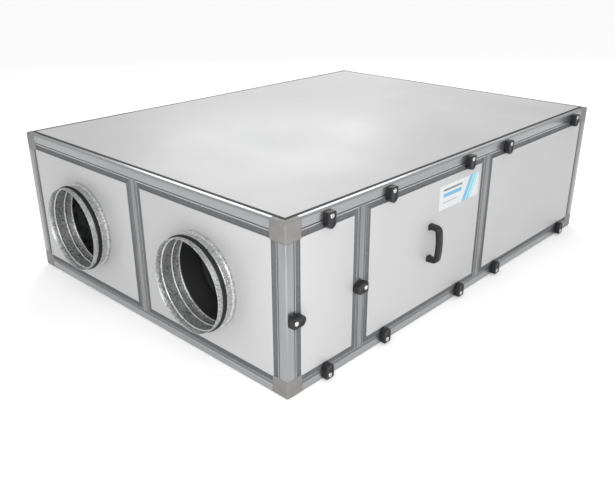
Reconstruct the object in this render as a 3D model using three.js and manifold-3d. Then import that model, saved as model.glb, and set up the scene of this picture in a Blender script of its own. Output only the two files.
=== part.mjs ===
// Flat heat recovery ventilation unit. Millimetres, +Z up.
// The origin is the centre of the casing's footprint, on the plane its bottom rails rest on.
// +X runs along the casing to the right-hand duct end, and -Y is the service side.
import * as THREE from 'three';
import { mergeVertices } from 'three/addons/utils/BufferGeometryUtils.js';
import Module from 'manifold-3d';

const wasm = await Module();
wasm.setup();

// Casing
const length = 1525;
const width = 1135;
const height = 450;
const fit = 0.3; // gap between pieces that touch

// Aluminium profile of the frame
const profile = 30;
const profileWall = 2;
const profileRound = 5;
const finReach = 18;
const finThick = 1.5;
const cornerArm = 50;
const midPostWidth = 28;
const midPostDepth = 28.2;
const midPostFinDepth = 26.8;
const smallPanelPostX = -499.5;
const largePanelPostX = 80;

// Sandwich panels
const panelDepth = 26.5;
const panelSlack = 0.5;
const panelBorder = 17;
const borderStep = 3;
const lidInset = 15;
const lidLift = 2;
const lidSkin = 2.5;

// Duct spigots, sized for a 250 mm round duct
const ductOffset = 270;
const ductHeight = 218;
const ductSegments = 32;
const spigotRadius = 124;
const spigotWall = 1.4;
const spigotReach = 52;
const spigotTail = 28;
const damperTail = 128;
const sealRadius = 127.5;
const flangeRadius = 129;
const flangeDepth = 5;
const spigotHole = spigotRadius + 0.6;
const damperAxisY = 90.5;
const damperShaftRadius = 4;
const damperBladeRadius = spigotRadius - spigotWall - 1.8;

// Panel clamps and handle
const clampWidth = 28;
const clampHeel = 10;
const clampNose = 31;
const clampDepth = 17;
const clampScrewInset = 15.5;
const sideClampHeight = 208;
const handleLength = 112;
const handleFoot = 18;
const handleRise = 40;
const handleBar = 13;
const handleWidth = 21;
const handleX = -203;
const handleHeight = 231;

// Inside
const exchangerSide = 470;
const exchangerBottom = 50.5;
const exchangerTop = 404;
const panHalf = 345;
const panBottom = 31;
const panTop = 50;
const bearerY = 60;
const drainX = 200;
const drainY = -120;
const drainRadius = 8;
const drainBore = 5.5;
const drainClearance = 24;
const drainEnd = 4;
const filterX = 430;
const filterThick = 48;
const filterLength = 516;
const filterHeight = 350;
const filterFrame = 12;
const filterPleats = 18;
const filterStart = -14; // edge nearest the middle of the unit
const fanPlateX = 400;
const fanAxisHeight = 225;
const fanPlateHalf = 256;
const fanPlateThick = 2;
const fanPlateBottom = 32;
const fanPlateTop = 418;
const nozzleRadius = 80;
const nozzleMouth = 98;
const nozzleDepth = 30;
const motorPlateY = 132;
const motorPlateHalf = 38;
const motorPlateReach = 156;
const strutHalf = 6;
const strutX = 29;
const strutZ = 146;
const statorRadius = 42;
const impellerRadius = 125;
const bladeInner = 52;
const bladeThick = 1.6;
const bladeSweep = 0.85;
const bladeCount = 7;
const heaterX = [580, 630];
const heaterZ = [45, 405];
const heaterHalf = 240;
const heaterRim = 20;
const heaterRodRadius = 5;
const heaterRodPitch = 75;
const boxX = [-725, -524];
const boxY = [-528, -410];
const boxZ = [67, 393];
const boxLidDepth = 20;
const boxLidLip = 3;

const silver = { color: 0xb4b8bd, roughness: 0.35, metalness: 0.9 };
const cornerGrey = { color: 0x8c8c89, roughness: 0.6, metalness: 0 };
const panelWhite = { color: 0xdcdddd, roughness: 0.45, metalness: 0 };
const clampBlack = { color: 0x2b2d2e, roughness: 0.5, metalness: 0 };
const galvanised = { color: 0xb9bdc0, roughness: 0.4, metalness: 0.85 };
const darkMetal = { color: 0x3a3d40, roughness: 0.6, metalness: 0.4 };
const exchangerFoil = { color: 0xc9ccd0, roughness: 0.3, metalness: 0.9 };
const filterWhite = { color: 0xe6e4da, roughness: 0.9, metalness: 0 };
const impellerBlue = { color: 0x31363b, roughness: 0.55, metalness: 0 };
const boxGrey = { color: 0xbfc2c4, roughness: 0.6, metalness: 0 };

const group = new THREE.Group();

// Adds one named piece to the unit.
function addPiece(name, geometry, finish, position = [0, 0, 0], turn = [0, 0, 0]) {
  const mesh = new THREE.Mesh(geometry, new THREE.MeshStandardMaterial(finish));
  mesh.name = name;
  mesh.position.set(...position);
  mesh.rotation.set(...turn);
  group.add(mesh);
  return mesh;
}

// A closed geometry as a solid, without the slivers that a lathe leaves on its axis.
function toSolid(geometry) {
  const plain = geometry.clone();
  plain.deleteAttribute('normal');
  plain.deleteAttribute('uv');
  const merged = mergeVertices(plain, 1e-3);
  const corners = merged.index.array;
  const triangles = [];
  for (let i = 0; i < corners.length; i += 3) {
    const [a, b, c] = corners.slice(i, i + 3);
    if (a !== b && b !== c && c !== a) {
      triangles.push(a, b, c);
    }
  }
  return new wasm.Manifold(new wasm.Mesh({
    numProp: 3,
    vertProperties: new Float32Array(merged.attributes.position.array),
    triVerts: new Uint32Array(triangles),
  }));
}

function toGeometry(solid) {
  const mesh = solid.getMesh();
  const geometry = new THREE.BufferGeometry();
  geometry.setAttribute('position', new THREE.BufferAttribute(mesh.vertProperties, 3));
  geometry.setIndex(new THREE.BufferAttribute(mesh.triVerts, 1));
  geometry.computeVertexNormals();
  return geometry;
}

function join(...geometries) {
  return toGeometry(geometries.map(toSolid).reduce((whole, next) => whole.add(next)));
}

function cut(body, ...tools) {
  return toGeometry(tools.map(toSolid).reduce((rest, tool) => rest.subtract(tool), toSolid(body)));
}

function overlap(...geometries) {
  return toGeometry(geometries.map(toSolid).reduce((common, next) => common.intersect(next)));
}

// A box given by its span along each axis.
function block([x0, x1], [y0, y1], [z0, z1]) {
  const box = new THREE.BoxGeometry(x1 - x0, y1 - y0, z1 - z0);
  return box.translate((x0 + x1) / 2, (y0 + y1) / 2, (z0 + z1) / 2);
}

// A round bar along Y, with its middle at the given place.
function barAlongY(radius, span, [x, y, z], segments = ductSegments) {
  return new THREE.CylinderGeometry(radius, radius, span, segments).translate(x, y, z);
}

function barAlongZ(radius, span, [x, y, z], segments = 16) {
  return new THREE.CylinderGeometry(radius, radius, span, segments).rotateX(Math.PI / 2).translate(x, y, z);
}

// A turned shape about Y from an outline of [radius, y] points, drawn in either direction.
function turned(outline, segments = ductSegments) {
  const points = outline.map(([radius, y]) => new THREE.Vector2(radius, y));
  if (THREE.ShapeUtils.area(points) < 0) {
    points.reverse();
  }
  return new THREE.LatheGeometry(points, segments);
}

// Frame: rails, posts and corner pieces
const axes = [new THREE.Vector3(1, 0, 0), new THREE.Vector3(0, 1, 0), new THREE.Vector3(0, 0, 1)];
const casing = [length, width, height];
const endNames = { '-1': 'left', 1: 'right' };
const sideNames = { '-1': 'front', 1: 'back' };
const levelNames = { '-1': 'bottom', 1: 'top' };

// The point of the casing's outer box that the signs pick, from -1 to 1 on each axis.
function casingPoint([x, y, z]) {
  return [x * length / 2, y * width / 2, height / 2 + z * height / 2];
}

function inward(axis, signs) {
  return axes[axis].clone().multiplyScalar(-signs[axis]);
}

// The turn that lays a piece drawn in an outer edge's corner onto the edge with these signs.
function turnOnto(first, second, third) {
  const keepsHand = first.clone().cross(second).dot(third) > 0;
  const basis = new THREE.Matrix4();
  basis.makeBasis(keepsHand ? first : second, keepsHand ? second : first, third);
  const euler = new THREE.Euler().setFromRotationMatrix(basis);
  return [euler.x, euler.y, euler.z];
}

// Square tube with its outer edge at 0,0 and a fin behind each of the two panels it holds.
function railSection() {
  const finEnd = profile + finReach;
  const finStart = profile - finThick;
  const shape = new THREE.Shape();
  shape.moveTo(profileRound, 0);
  shape.lineTo(profile, 0);
  shape.lineTo(profile, finStart);
  shape.lineTo(finEnd, finStart);
  shape.lineTo(finEnd, profile);
  shape.lineTo(profile, profile);
  shape.lineTo(profile, finEnd);
  shape.lineTo(finStart, finEnd);
  shape.lineTo(finStart, profile);
  shape.lineTo(0, profile);
  shape.lineTo(0, profileRound);
  shape.absarc(profileRound, profileRound, profileRound, Math.PI, 1.5 * Math.PI);
  const near = profileWall;
  const far = finStart - profileWall;
  shape.holes.push(new THREE.Path([[near, near], [near, far], [far, far], [far, near]]
    .map(([x, y]) => new THREE.Vector2(x, y))));
  return shape;
}

function addRail(name, axis, signs) {
  const run = casing[axis] - 2 * (cornerArm + fit);
  const along = { depth: run, bevelEnabled: false, curveSegments: 4 };
  const rail = new THREE.ExtrudeGeometry(railSection(), along);
  rail.translate(0, 0, -run / 2);
  const [first, second] = [0, 1, 2].filter((other) => other !== axis);
  const turn = turnOnto(inward(first, signs), inward(second, signs), axes[axis]);
  addPiece(name, rail, silver, casingPoint(signs), turn);
}

// A block whose edge along Z at 0,0 is rounded as the profile is.
function roundedBlock(reachX, reachY, reachZ) {
  const shape = new THREE.Shape();
  shape.moveTo(profileRound, 0);
  shape.lineTo(reachX, 0);
  shape.lineTo(reachX, reachY);
  shape.lineTo(0, reachY);
  shape.lineTo(0, profileRound);
  shape.absarc(profileRound, profileRound, profileRound, Math.PI, 1.5 * Math.PI);
  return new THREE.ExtrudeGeometry(shape, { depth: reachZ, bevelEnabled: false, curveSegments: 4 });
}

// Three arms that meet in one corner, each as wide as the profile.
function cornerSolid() {
  const arms = join(
    block([0, cornerArm], [0, profile], [0, profile]),
    block([0, profile], [0, cornerArm], [0, profile]),
    block([0, profile], [0, profile], [0, cornerArm]),
  );
  const edgeZ = roundedBlock(cornerArm, cornerArm, cornerArm);
  const edgeX = edgeZ.clone().rotateY(Math.PI / 2).rotateX(Math.PI / 2);
  const edgeY = edgeZ.clone().rotateX(-Math.PI / 2).rotateY(-Math.PI / 2);
  return overlap(arms, edgeZ, edgeX, edgeY);
}

function addFrame() {
  const corner = cornerSolid();
  for (const x of [-1, 1]) {
    for (const y of [-1, 1]) {
      addRail(`post_${endNames[x]}_${sideNames[y]}`, 2, [x, y, 0]);
      for (const z of [-1, 1]) {
        const signs = [x, y, z];
        const turn = turnOnto(inward(0, signs), inward(1, signs), inward(2, signs));
        const name = `corner_${levelNames[z]}_${endNames[x]}_${sideNames[y]}`;
        addPiece(name, corner.clone(), cornerGrey, casingPoint(signs), turn);
      }
    }
  }
  for (const z of [-1, 1]) {
    for (const side of [-1, 1]) {
      addRail(`rail_${levelNames[z]}_${sideNames[side]}`, 0, [0, side, z]);
      addRail(`rail_${levelNames[z]}_${endNames[side]}`, 1, [side, 0, z]);
    }
  }
}

// Walls
// A wall's own frame has X along the wall, +Y into the casing and Z up, from the outer face.
const walls = {
  front: { place: [0, -width / 2, 0], turn: 0 },
  right: { place: [length / 2, 0, 0], turn: Math.PI / 2 },
  back: { place: [0, width / 2, 0], turn: Math.PI },
  left: { place: [-length / 2, 0, 0], turn: -Math.PI / 2 },
};

function addOnWall(name, geometry, finish, wall, along = 0, out = 0, up = 0, spin = 0) {
  const { place, turn } = walls[wall];
  const offset = new THREE.Vector3(along, -out, up).applyAxisAngle(axes[2], turn);
  const position = [place[0] + offset.x, place[1] + offset.y, place[2] + offset.z];
  return addPiece(name, geometry, finish, position, [0, spin, turn]);
}

// Tube between the top and bottom rails with a fin to each side.
function addMidPost(name, wall, along) {
  const half = midPostWidth / 2;
  const inner = half - profileWall;
  const span = [profile + fit, height - profile - fit];
  const finSpan = [profile + finReach + fit, height - profile - finReach - fit];
  const tube = block([-half, half], [0, midPostDepth], span);
  const hollow = block([-inner, inner], [profileWall, midPostFinDepth - profileWall], [0, height]);
  const fin = block([-half - finReach, half + finReach], [midPostFinDepth, midPostDepth], finSpan);
  addOnWall(name, join(cut(tube, hollow), fin), silver, wall, along);
}

// A sandwich panel for an opening between two places along a wall: a wide core with a raised face.
function wallPanel(from, to, ducts = []) {
  const bottom = profile;
  const top = height - profile;
  const core = block(
    [from + panelSlack, to - panelSlack],
    [borderStep, panelDepth],
    [bottom + panelSlack, top - panelSlack],
  );
  const face = block(
    [from + panelBorder, to - panelBorder],
    [0, borderStep + 1],
    [bottom + panelBorder, top - panelBorder],
  );
  const holes = ducts.map((along) => barAlongY(spigotHole, 4 * panelDepth, [along, 0, ductHeight]));
  return cut(join(core, face), ...holes);
}

function addWalls() {
  const endOfLong = length / 2 - profile;
  const endOfShort = width / 2 - profile;
  const halfPost = midPostWidth / 2;
  addMidPost('mid_post_front_1', 'front', smallPanelPostX);
  addMidPost('mid_post_front_2', 'front', largePanelPostX);
  addMidPost('mid_post_left', 'left', 0);
  const addPanel = (name, wall, from, to, holes = []) => {
    addOnWall(name, wallPanel(from, to, holes), panelWhite, wall);
  };
  addPanel('service_panel_1', 'front', -endOfLong, smallPanelPostX - halfPost);
  addPanel('service_panel_2', 'front', smallPanelPostX + halfPost, largePanelPostX - halfPost);
  addPanel('service_panel_3', 'front', largePanelPostX + halfPost, endOfLong);
  addPanel('back_panel', 'back', -endOfLong, endOfLong);
  addPanel('end_panel_left_back', 'left', -endOfShort, -halfPost, [-ductOffset]);
  addPanel('end_panel_left_front', 'left', halfPost, endOfShort, [ductOffset]);
  addPanel('end_panel_right', 'right', -endOfShort, endOfShort, [-ductOffset, ductOffset]);
}

// Top lid: a core between the rails under a skin that lies over them, and a plain panel below.
function addLidAndBase() {
  const coreX = length / 2 - profile - panelSlack;
  const coreY = width / 2 - profile - panelSlack;
  const skinX = length / 2 - lidInset;
  const skinY = width / 2 - lidInset;
  const skinBottom = height + lidLift;
  const core = block([-coreX, coreX], [-coreY, coreY], [height - panelDepth - finThick, skinBottom + 1]);
  const skin = block([-skinX, skinX], [-skinY, skinY], [skinBottom, skinBottom + lidSkin]);
  addPiece('top_panel', join(core, skin), panelWhite);
  const base = block([-coreX, coreX], [-coreY, coreY], [0, panelDepth]);
  const drainHole = barAlongZ(drainClearance, height, [drainX, drainY, 0], 24);
  addPiece('bottom_panel', cut(base, drainHole), panelWhite);
}

// Duct spigots
// Sheet-metal collar along Y with its rim at -spigotReach: seal, stiffening bead and flange.
function spigotSolid(tail) {
  const bore = spigotRadius - spigotWall;
  const rim = -spigotReach;
  return turned([
    [bore, rim],
    [bore, tail],
    [spigotRadius, tail],
    [spigotRadius, -fit],
    [flangeRadius, -fit],
    [flangeRadius, -fit - flangeDepth],
    [spigotRadius, -fit - flangeDepth],
    [spigotRadius, rim + 27],
    [sealRadius, rim + 26],
    [sealRadius, rim + 16],
    [spigotRadius, rim + 15],
    [spigotRadius, rim + 1],
    [bore + 0.4, rim],
    [bore, rim],
  ]);
}


function addSpigots() {
  const shaftHoles = barAlongZ(damperShaftRadius + 0.8, 4 * spigotRadius, [0, damperAxisY, 0]);
  const plain = spigotSolid(spigotTail);
  const withDamper = cut(spigotSolid(damperTail), shaftHoles);
  addOnWall('spigot_outdoor_air', withDamper, galvanised, 'left', ductOffset, 0, ductHeight);
  addOnWall('spigot_exhaust_air', plain.clone(), galvanised, 'left', -ductOffset, 0, ductHeight);
  addOnWall('spigot_extract_air', plain.clone(), galvanised, 'right', -ductOffset, 0, ductHeight);
  addOnWall('spigot_supply_air', plain.clone(), galvanised, 'right', ductOffset, 0, ductHeight);
  const shaftReach = 24;
  const blade = join(
    barAlongY(damperBladeRadius, 3, [0, 0, 0]),
    barAlongZ(damperShaftRadius, 2 * damperBladeRadius + 2 * shaftReach, [0, 0, 0]),
  );
  addOnWall('damper_blade', blade, darkMetal, 'left', ductOffset, -damperAxisY, ductHeight);
}

// Clamps and handle
// Block with a half-round nose towards +Z and its screw axis at 0,0.
function clampSolid() {
  const half = clampWidth / 2;
  const round = 2;
  const shape = new THREE.Shape();
  shape.moveTo(-half + round, -clampHeel);
  shape.lineTo(half - round, -clampHeel);
  shape.quadraticCurveTo(half, -clampHeel, half, -clampHeel + round);
  shape.lineTo(half, clampNose - half);
  shape.absarc(0, clampNose - half, half, 0, Math.PI);
  shape.lineTo(-half, -clampHeel + round);
  shape.quadraticCurveTo(-half, -clampHeel, -half + round, -clampHeel);
  const outward = { depth: clampDepth, bevelEnabled: false, curveSegments: 6 };
  return new THREE.ExtrudeGeometry(shape, outward).rotateX(Math.PI / 2);
}

function addClamps() {
  const clamp = clampSolid();
  const high = height - clampScrewInset;
  const low = clampScrewInset;
  const addClamp = (name, along, up, spin) => {
    addOnWall(name, clamp.clone(), clampBlack, 'front', along, fit, up, spin);
  };
  const columns = [
    ['panel_1', -630],
    ['panel_2_left', -398],
    ['panel_2_right', -31],
    ['panel_3_left', 185],
    ['panel_3_right', 647],
  ];
  for (const [place, along] of columns) {
    addClamp(`clamp_${place}_top`, along, high, Math.PI);
    addClamp(`clamp_${place}_bottom`, along, low, 0);
  }
  addClamp('clamp_panel_1_side_left', -length / 2 + clampScrewInset, sideClampHeight, Math.PI / 2);
  addClamp('clamp_panel_1_side_right', smallPanelPostX, sideClampHeight, -Math.PI / 2);
}

// Bow handle: two feet joined by a bar that stands off the panel.
function handleSolid() {
  const end = handleLength / 2;
  const foot = end - handleFoot;
  const inner = handleRise - handleBar;
  const shape = new THREE.Shape();
  shape.moveTo(-end, 0);
  shape.lineTo(-end, handleRise * 0.4);
  shape.quadraticCurveTo(-end + 4, handleRise * 0.92, -foot + 10, handleRise * 0.97);
  shape.quadraticCurveTo(0, handleRise * 1.03, foot - 10, handleRise * 0.97);
  shape.quadraticCurveTo(end - 4, handleRise * 0.92, end, handleRise * 0.4);
  shape.lineTo(end, 0);
  shape.lineTo(foot, 0);
  shape.lineTo(foot, inner * 0.5);
  shape.quadraticCurveTo(foot - 1, inner, foot - 10, inner);
  shape.lineTo(-foot + 10, inner);
  shape.quadraticCurveTo(-foot + 1, inner, -foot, inner * 0.5);
  shape.lineTo(-foot, 0);
  const across = { depth: handleWidth, bevelEnabled: false, curveSegments: 6 };
  const solid = new THREE.ExtrudeGeometry(shape, across).translate(0, 0, -handleWidth / 2);
  const alongZ = axes[2];
  const outward = axes[1].clone().negate();
  return solid.applyMatrix4(new THREE.Matrix4().makeBasis(alongZ, outward, axes[0]));
}

// Inside
// Cross-flow plate block on end: plates between two end plates and four corner bars.
function addExchanger() {
  const half = exchangerSide / 2;
  const inset = 6;
  const barSide = 22;
  const span = [exchangerBottom, exchangerTop];
  const plates = block([-half + inset, half - inset], [-half + inset, half - inset], span);
  const lids = [exchangerBottom, exchangerTop - 2].map((z) => (
    block([-half, half], [-half, half], [z, z + 2])
  ));
  const bars = [];
  for (const x of [-1, 1]) {
    for (const y of [-1, 1]) {
      const bar = block([-barSide / 2, barSide / 2], [-barSide / 2, barSide / 2], span);
      bars.push(bar.translate(x * (half - barSide / 2), y * (half - barSide / 2), 0));
    }
  }
  addPiece('heat_exchanger', join(plates, ...lids, ...bars), exchangerFoil, [0, 0, 0], [0, 0, Math.PI / 4]);
}

// Condensate tray under the exchanger, with two bearers and an outlet through the base panel.
function addDrainPan() {
  const sheet = 1.5;
  const outer = block([-panHalf, panHalf], [-panHalf, panHalf], [panBottom, panTop]);
  const inner = block(
    [-panHalf + sheet, panHalf - sheet],
    [-panHalf + sheet, panHalf - sheet],
    [panBottom + sheet, panTop + 1],
  );
  const bearerSpan = [panBottom + 1, exchangerBottom - fit];
  const bearers = [-bearerY, bearerY].map((y) => (
    block([-panHalf + 1, panHalf - 1], [y - 8, y + 8], bearerSpan)
  ));
  const stubMiddle = (drainEnd + panBottom + 1) / 2;
  const stub = barAlongZ(drainRadius, panBottom + 1 - drainEnd, [drainX, drainY, stubMiddle]);
  const bore = barAlongZ(drainBore, 2 * panTop, [drainX, drainY, 0]);
  addPiece('drain_pan', cut(join(cut(outer, inner), ...bearers, stub), bore), galvanised);
}

// Pleated air filter in a frame, standing across the air path.
function filterSolid() {
  const half = filterThick / 2;
  const halfLength = filterLength / 2;
  const top = filterHeight / 2;
  const outer = block([-half, half], [-halfLength, halfLength], [-top, top]);
  const window = block(
    [-filterThick, filterThick],
    [-halfLength + filterFrame, halfLength - filterFrame],
    [-top + filterFrame, top - filterFrame],
  );
  const pitch = (filterLength - filterFrame) / filterPleats;
  const media = new THREE.Shape();
  const zigzag = (offset) => Array.from({ length: filterPleats + 1 }, (_, i) => new THREE.Vector2(
    (i % 2 ? 1 : -1) * (half - 7) + offset,
    -halfLength + filterFrame / 2 + i * pitch,
  ));
  media.setFromPoints([...zigzag(1.5), ...zigzag(-1.5).reverse()]);
  const sheet = new THREE.ExtrudeGeometry(media, { depth: filterHeight - filterFrame, bevelEnabled: false });
  sheet.translate(0, 0, -top + filterFrame / 2);
  return join(cut(outer, window), sheet);
}

function addFilters() {
  const middleY = filterStart - filterLength / 2;
  const filter = filterSolid();
  addPiece('outdoor_air_filter', filter.clone(), filterWhite, [-filterX, middleY, fanAxisHeight]);
  addPiece('extract_air_filter', filter.clone(), filterWhite, [filterX, middleY, fanAxisHeight]);
}

// Bulkhead with an inlet nozzle, and a motor plate held behind it by four struts.
// The fan axis is Y, and the air goes to +Y.
function fanFrameSolid() {
  const plateZ = [fanPlateBottom - fanAxisHeight, fanPlateTop - fanAxisHeight];
  const plate = cut(
    block([-fanPlateHalf, fanPlateHalf], [0, fanPlateThick], plateZ),
    barAlongY(nozzleMouth - 1, 20, [0, 0, 0]),
  );
  const nozzle = turned([
    [nozzleMouth + 4, 0],
    [nozzleMouth + 4, fanPlateThick],
    [nozzleMouth - 8, 8],
    [nozzleRadius + 2, 20],
    [nozzleRadius + 2, nozzleDepth],
    [nozzleRadius, nozzleDepth],
    [nozzleRadius, 18],
    [nozzleMouth - 10, 5],
    [nozzleMouth - 2, 0],
    [nozzleMouth + 4, 0],
  ]);
  const motorPlate = block(
    [-motorPlateHalf, motorPlateHalf],
    [motorPlateY, motorPlateY + 3],
    [-motorPlateReach, motorPlateReach],
  );
  const stator = barAlongY(statorRadius, 14, [0, motorPlateY - 6, 0], 24);
  const struts = [];
  for (const x of [-strutX, strutX]) {
    for (const z of [-strutZ, strutZ]) {
      const strut = block([-strutHalf, strutHalf], [1, motorPlateY + 1], [-strutHalf, strutHalf]);
      struts.push(strut.translate(x, 0, z));
    }
  }
  return join(plate, nozzle, motorPlate, stator, ...struts);
}

// One backward-curved blade as a bent strip, drawn in XZ and as wide as the wheel along Y.
function impellerBlade(from, to) {
  const outer = impellerRadius - 1;
  const steps = 6;
  const edge = (side) => Array.from({ length: steps + 1 }, (_, i) => {
    const part = i / steps;
    const radius = bladeInner + (outer - bladeInner) * part;
    const angle = bladeSweep * part * (1.35 - 0.35 * part) + side * bladeThick / radius;
    return new THREE.Vector2(radius * Math.cos(angle), radius * Math.sin(angle));
  });
  const shape = new THREE.Shape([...edge(-1), ...edge(1).reverse()]);
  const blade = new THREE.ExtrudeGeometry(shape, { depth: to - from, bevelEnabled: false });
  return blade.rotateX(-Math.PI / 2).translate(0, from, 0);
}

// Wheel about Y: cover ring at the inlet, back plate with the rotor, and the blades between.
function impellerSolid() {
  const eye = nozzleRadius + 5;
  const cover = turned([
    [eye, 24],
    [eye, 46],
    [impellerRadius, 46],
    [impellerRadius, 43],
    [eye + 2.5, 43],
    [eye + 2.5, 24],
    [eye, 24],
  ]);
  const backPlate = turned([
    [0, 62],
    [42, 62],
    [46, 68],
    [46, 106],
    [impellerRadius, 106],
    [impellerRadius, 109],
    [56, 109],
    [56, 113],
    [0, 113],
  ]);
  const blades = Array.from({ length: bladeCount }, (_, i) =>
    impellerBlade(44, 108).rotateY(i * 2 * Math.PI / bladeCount));
  return join(cover, backPlate, ...blades);
}

function addFans() {
  const frame = fanFrameSolid();
  const impeller = impellerSolid();
  const supply = [fanPlateX, ductOffset, fanAxisHeight];
  const exhaust = [-fanPlateX, ductOffset, fanAxisHeight];
  addPiece('supply_fan_frame', frame.clone(), galvanised, supply, [0, 0, -Math.PI / 2]);
  addPiece('supply_fan_impeller', impeller.clone(), impellerBlue, supply, [0, 0, -Math.PI / 2]);
  addPiece('exhaust_fan_frame', frame.clone(), galvanised, exhaust, [0, 0, Math.PI / 2]);
  addPiece('exhaust_fan_impeller', impeller.clone(), impellerBlue, exhaust, [0, 0, Math.PI / 2]);
}

// Electric after-heater: an open frame crossed by heating rods.
function addHeater() {
  const spanY = [ductOffset - heaterHalf, ductOffset + heaterHalf];
  const windowX = [heaterX[0] - 1, heaterX[1] + 1];
  const windowY = [spanY[0] + heaterRim, spanY[1] - heaterRim];
  const windowZ = [heaterZ[0] + heaterRim, heaterZ[1] - heaterRim];
  const frame = cut(block(heaterX, spanY, heaterZ), block(windowX, windowY, windowZ));
  const middleX = (heaterX[0] + heaterX[1]) / 2;
  const middleZ = (heaterZ[0] + heaterZ[1]) / 2;
  const rodLength = heaterZ[1] - heaterZ[0] - heaterRim;
  const rods = [-2, -1, 0, 1, 2].map((step) => (
    barAlongZ(heaterRodRadius, rodLength, [middleX, ductOffset + step * heaterRodPitch, middleZ], 8)
  ));
  addPiece('electric_heater', join(frame, ...rods), galvanised);
}

// Control box beside the outdoor-air duct, behind the small service panel.
function addControlBox() {
  const body = block(
    [boxX[0] + boxLidLip, boxX[1] - boxLidLip],
    [boxY[0] + boxLidDepth - 7, boxY[1]],
    [boxZ[0] + boxLidLip, boxZ[1] - boxLidLip],
  );
  const cover = block(boxX, [boxY[0], boxY[0] + boxLidDepth], boxZ);
  addPiece('control_box', join(body, cover), boxGrey);
}

addFrame();
addWalls();
addLidAndBase();
addSpigots();
addClamps();
addOnWall('panel_handle', handleSolid(), clampBlack, 'front', handleX, fit, handleHeight);
addExchanger();
addDrainPan();
addFilters();
addFans();
addHeater();
addControlBox();

export default group;
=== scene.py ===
import math

import bpy
from mathutils import Matrix, Vector


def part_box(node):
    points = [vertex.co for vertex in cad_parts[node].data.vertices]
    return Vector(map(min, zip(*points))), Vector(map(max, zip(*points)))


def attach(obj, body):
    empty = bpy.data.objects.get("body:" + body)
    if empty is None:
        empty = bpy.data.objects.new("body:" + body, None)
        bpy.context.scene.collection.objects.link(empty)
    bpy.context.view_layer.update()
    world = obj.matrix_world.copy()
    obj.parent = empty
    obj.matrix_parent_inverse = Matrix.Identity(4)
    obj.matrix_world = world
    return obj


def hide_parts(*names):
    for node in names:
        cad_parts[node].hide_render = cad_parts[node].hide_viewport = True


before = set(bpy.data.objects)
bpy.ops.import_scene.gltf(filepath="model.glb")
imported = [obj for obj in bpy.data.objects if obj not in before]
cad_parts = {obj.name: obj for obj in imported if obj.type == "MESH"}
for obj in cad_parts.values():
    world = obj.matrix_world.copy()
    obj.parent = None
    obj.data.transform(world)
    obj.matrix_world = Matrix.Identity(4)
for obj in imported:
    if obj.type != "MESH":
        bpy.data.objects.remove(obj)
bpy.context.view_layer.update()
mm = 0.001
scene = bpy.context.scene
print("frame loaded with", len(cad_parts), "nodes")

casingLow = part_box("corner_bottom_left_front")[0]
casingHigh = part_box("corner_top_right_back")[1]


def setPickMode(kind):
    scene.tool_settings.mesh_select_mode = tuple(kind == k for k in ("vertex", "edge", "face"))


def objectMode():
    if bpy.context.object and bpy.context.object.mode != "OBJECT":
        bpy.ops.object.mode_set(mode="OBJECT")


def dropAll():
    objectMode()
    bpy.ops.object.select_all(action="DESELECT")


def pickPiece(piece):
    dropAll()
    piece.select_set(True)
    bpy.context.view_layer.objects.active = piece


def dropMesh(piece):
    pickPiece(piece)
    for part in (piece.data.vertices, piece.data.edges, piece.data.polygons):
        part.foreach_set("select", [False] * len(part))


def pickFaces(piece, test):
    dropMesh(piece)
    setPickMode("face")
    for face in piece.data.polygons:
        face.select = bool(test(face.center, face.normal))
    bpy.ops.object.mode_set(mode="EDIT")


def pickEdges(piece, test):
    dropMesh(piece)
    setPickMode("edge")
    corners = piece.data.vertices
    for edge in piece.data.edges:
        a, b = corners[edge.vertices[0]].co, corners[edge.vertices[1]].co
        edge.select = bool(test((a + b) / 2, (b - a).normalized()))
    bpy.ops.object.mode_set(mode="EDIT")


def pickWhole(piece):
    pickPiece(piece)
    bpy.ops.object.mode_set(mode="EDIT")
    bpy.ops.mesh.select_all(action="SELECT")


def near(a, b, slack=0.0002):
    return abs(a - b) < slack


def settle(name):
    piece = bpy.context.object
    piece.name = name
    piece.data.name = name
    bpy.ops.object.transform_apply(location=True, rotation=True, scale=True)
    return piece


def startBox(name, low, high):
    dropAll()
    low, high = Vector(low), Vector(high)
    bpy.ops.mesh.primitive_cube_add(size=1, location=(low + high) / 2)
    bpy.context.object.scale = high - low
    return settle(name)


def startDisc(name, radius, low, high, sides=48):
    dropAll()
    bpy.ops.mesh.primitive_cylinder_add(
        vertices=sides, radius=radius, depth=high - low, location=(0, 0, (low + high) / 2))
    return settle(name)


def pull(piece, test, move):
    pickFaces(piece, test)
    bpy.ops.mesh.extrude_region_move(TRANSFORM_OT_translate={"value": tuple(move)})
    objectMode()


def pressFaces(piece, test, *steps):
    # inset the picked faces once for each (width, depth) pair in mm
    pickFaces(piece, test)
    for width, depth in steps:
        bpy.ops.mesh.inset(thickness=width * mm, depth=depth * mm)
    objectMode()


def openFrame(piece, axis, width):
    # turn a slab into a frame: inset both of its faces and join the two rims
    pickFaces(piece, lambda c, n: abs(n[axis]) > 0.9)
    bpy.ops.mesh.inset(thickness=width * mm, depth=0)
    bpy.ops.mesh.bridge_edge_loops()
    objectMode()


def slicePiece(piece, axis, places):
    for place in places:
        pickWhole(piece)
        point = [0, 0, 0]
        point[axis] = place
        bpy.ops.mesh.bisect(plane_co=point, plane_no=[1 if i == axis else 0 for i in range(3)])
    objectMode()


def roundEdges(piece, test, width, segments):
    pickEdges(piece, test)
    bpy.ops.mesh.bevel(offset=width, segments=segments, affect="EDGES")
    objectMode()


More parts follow.
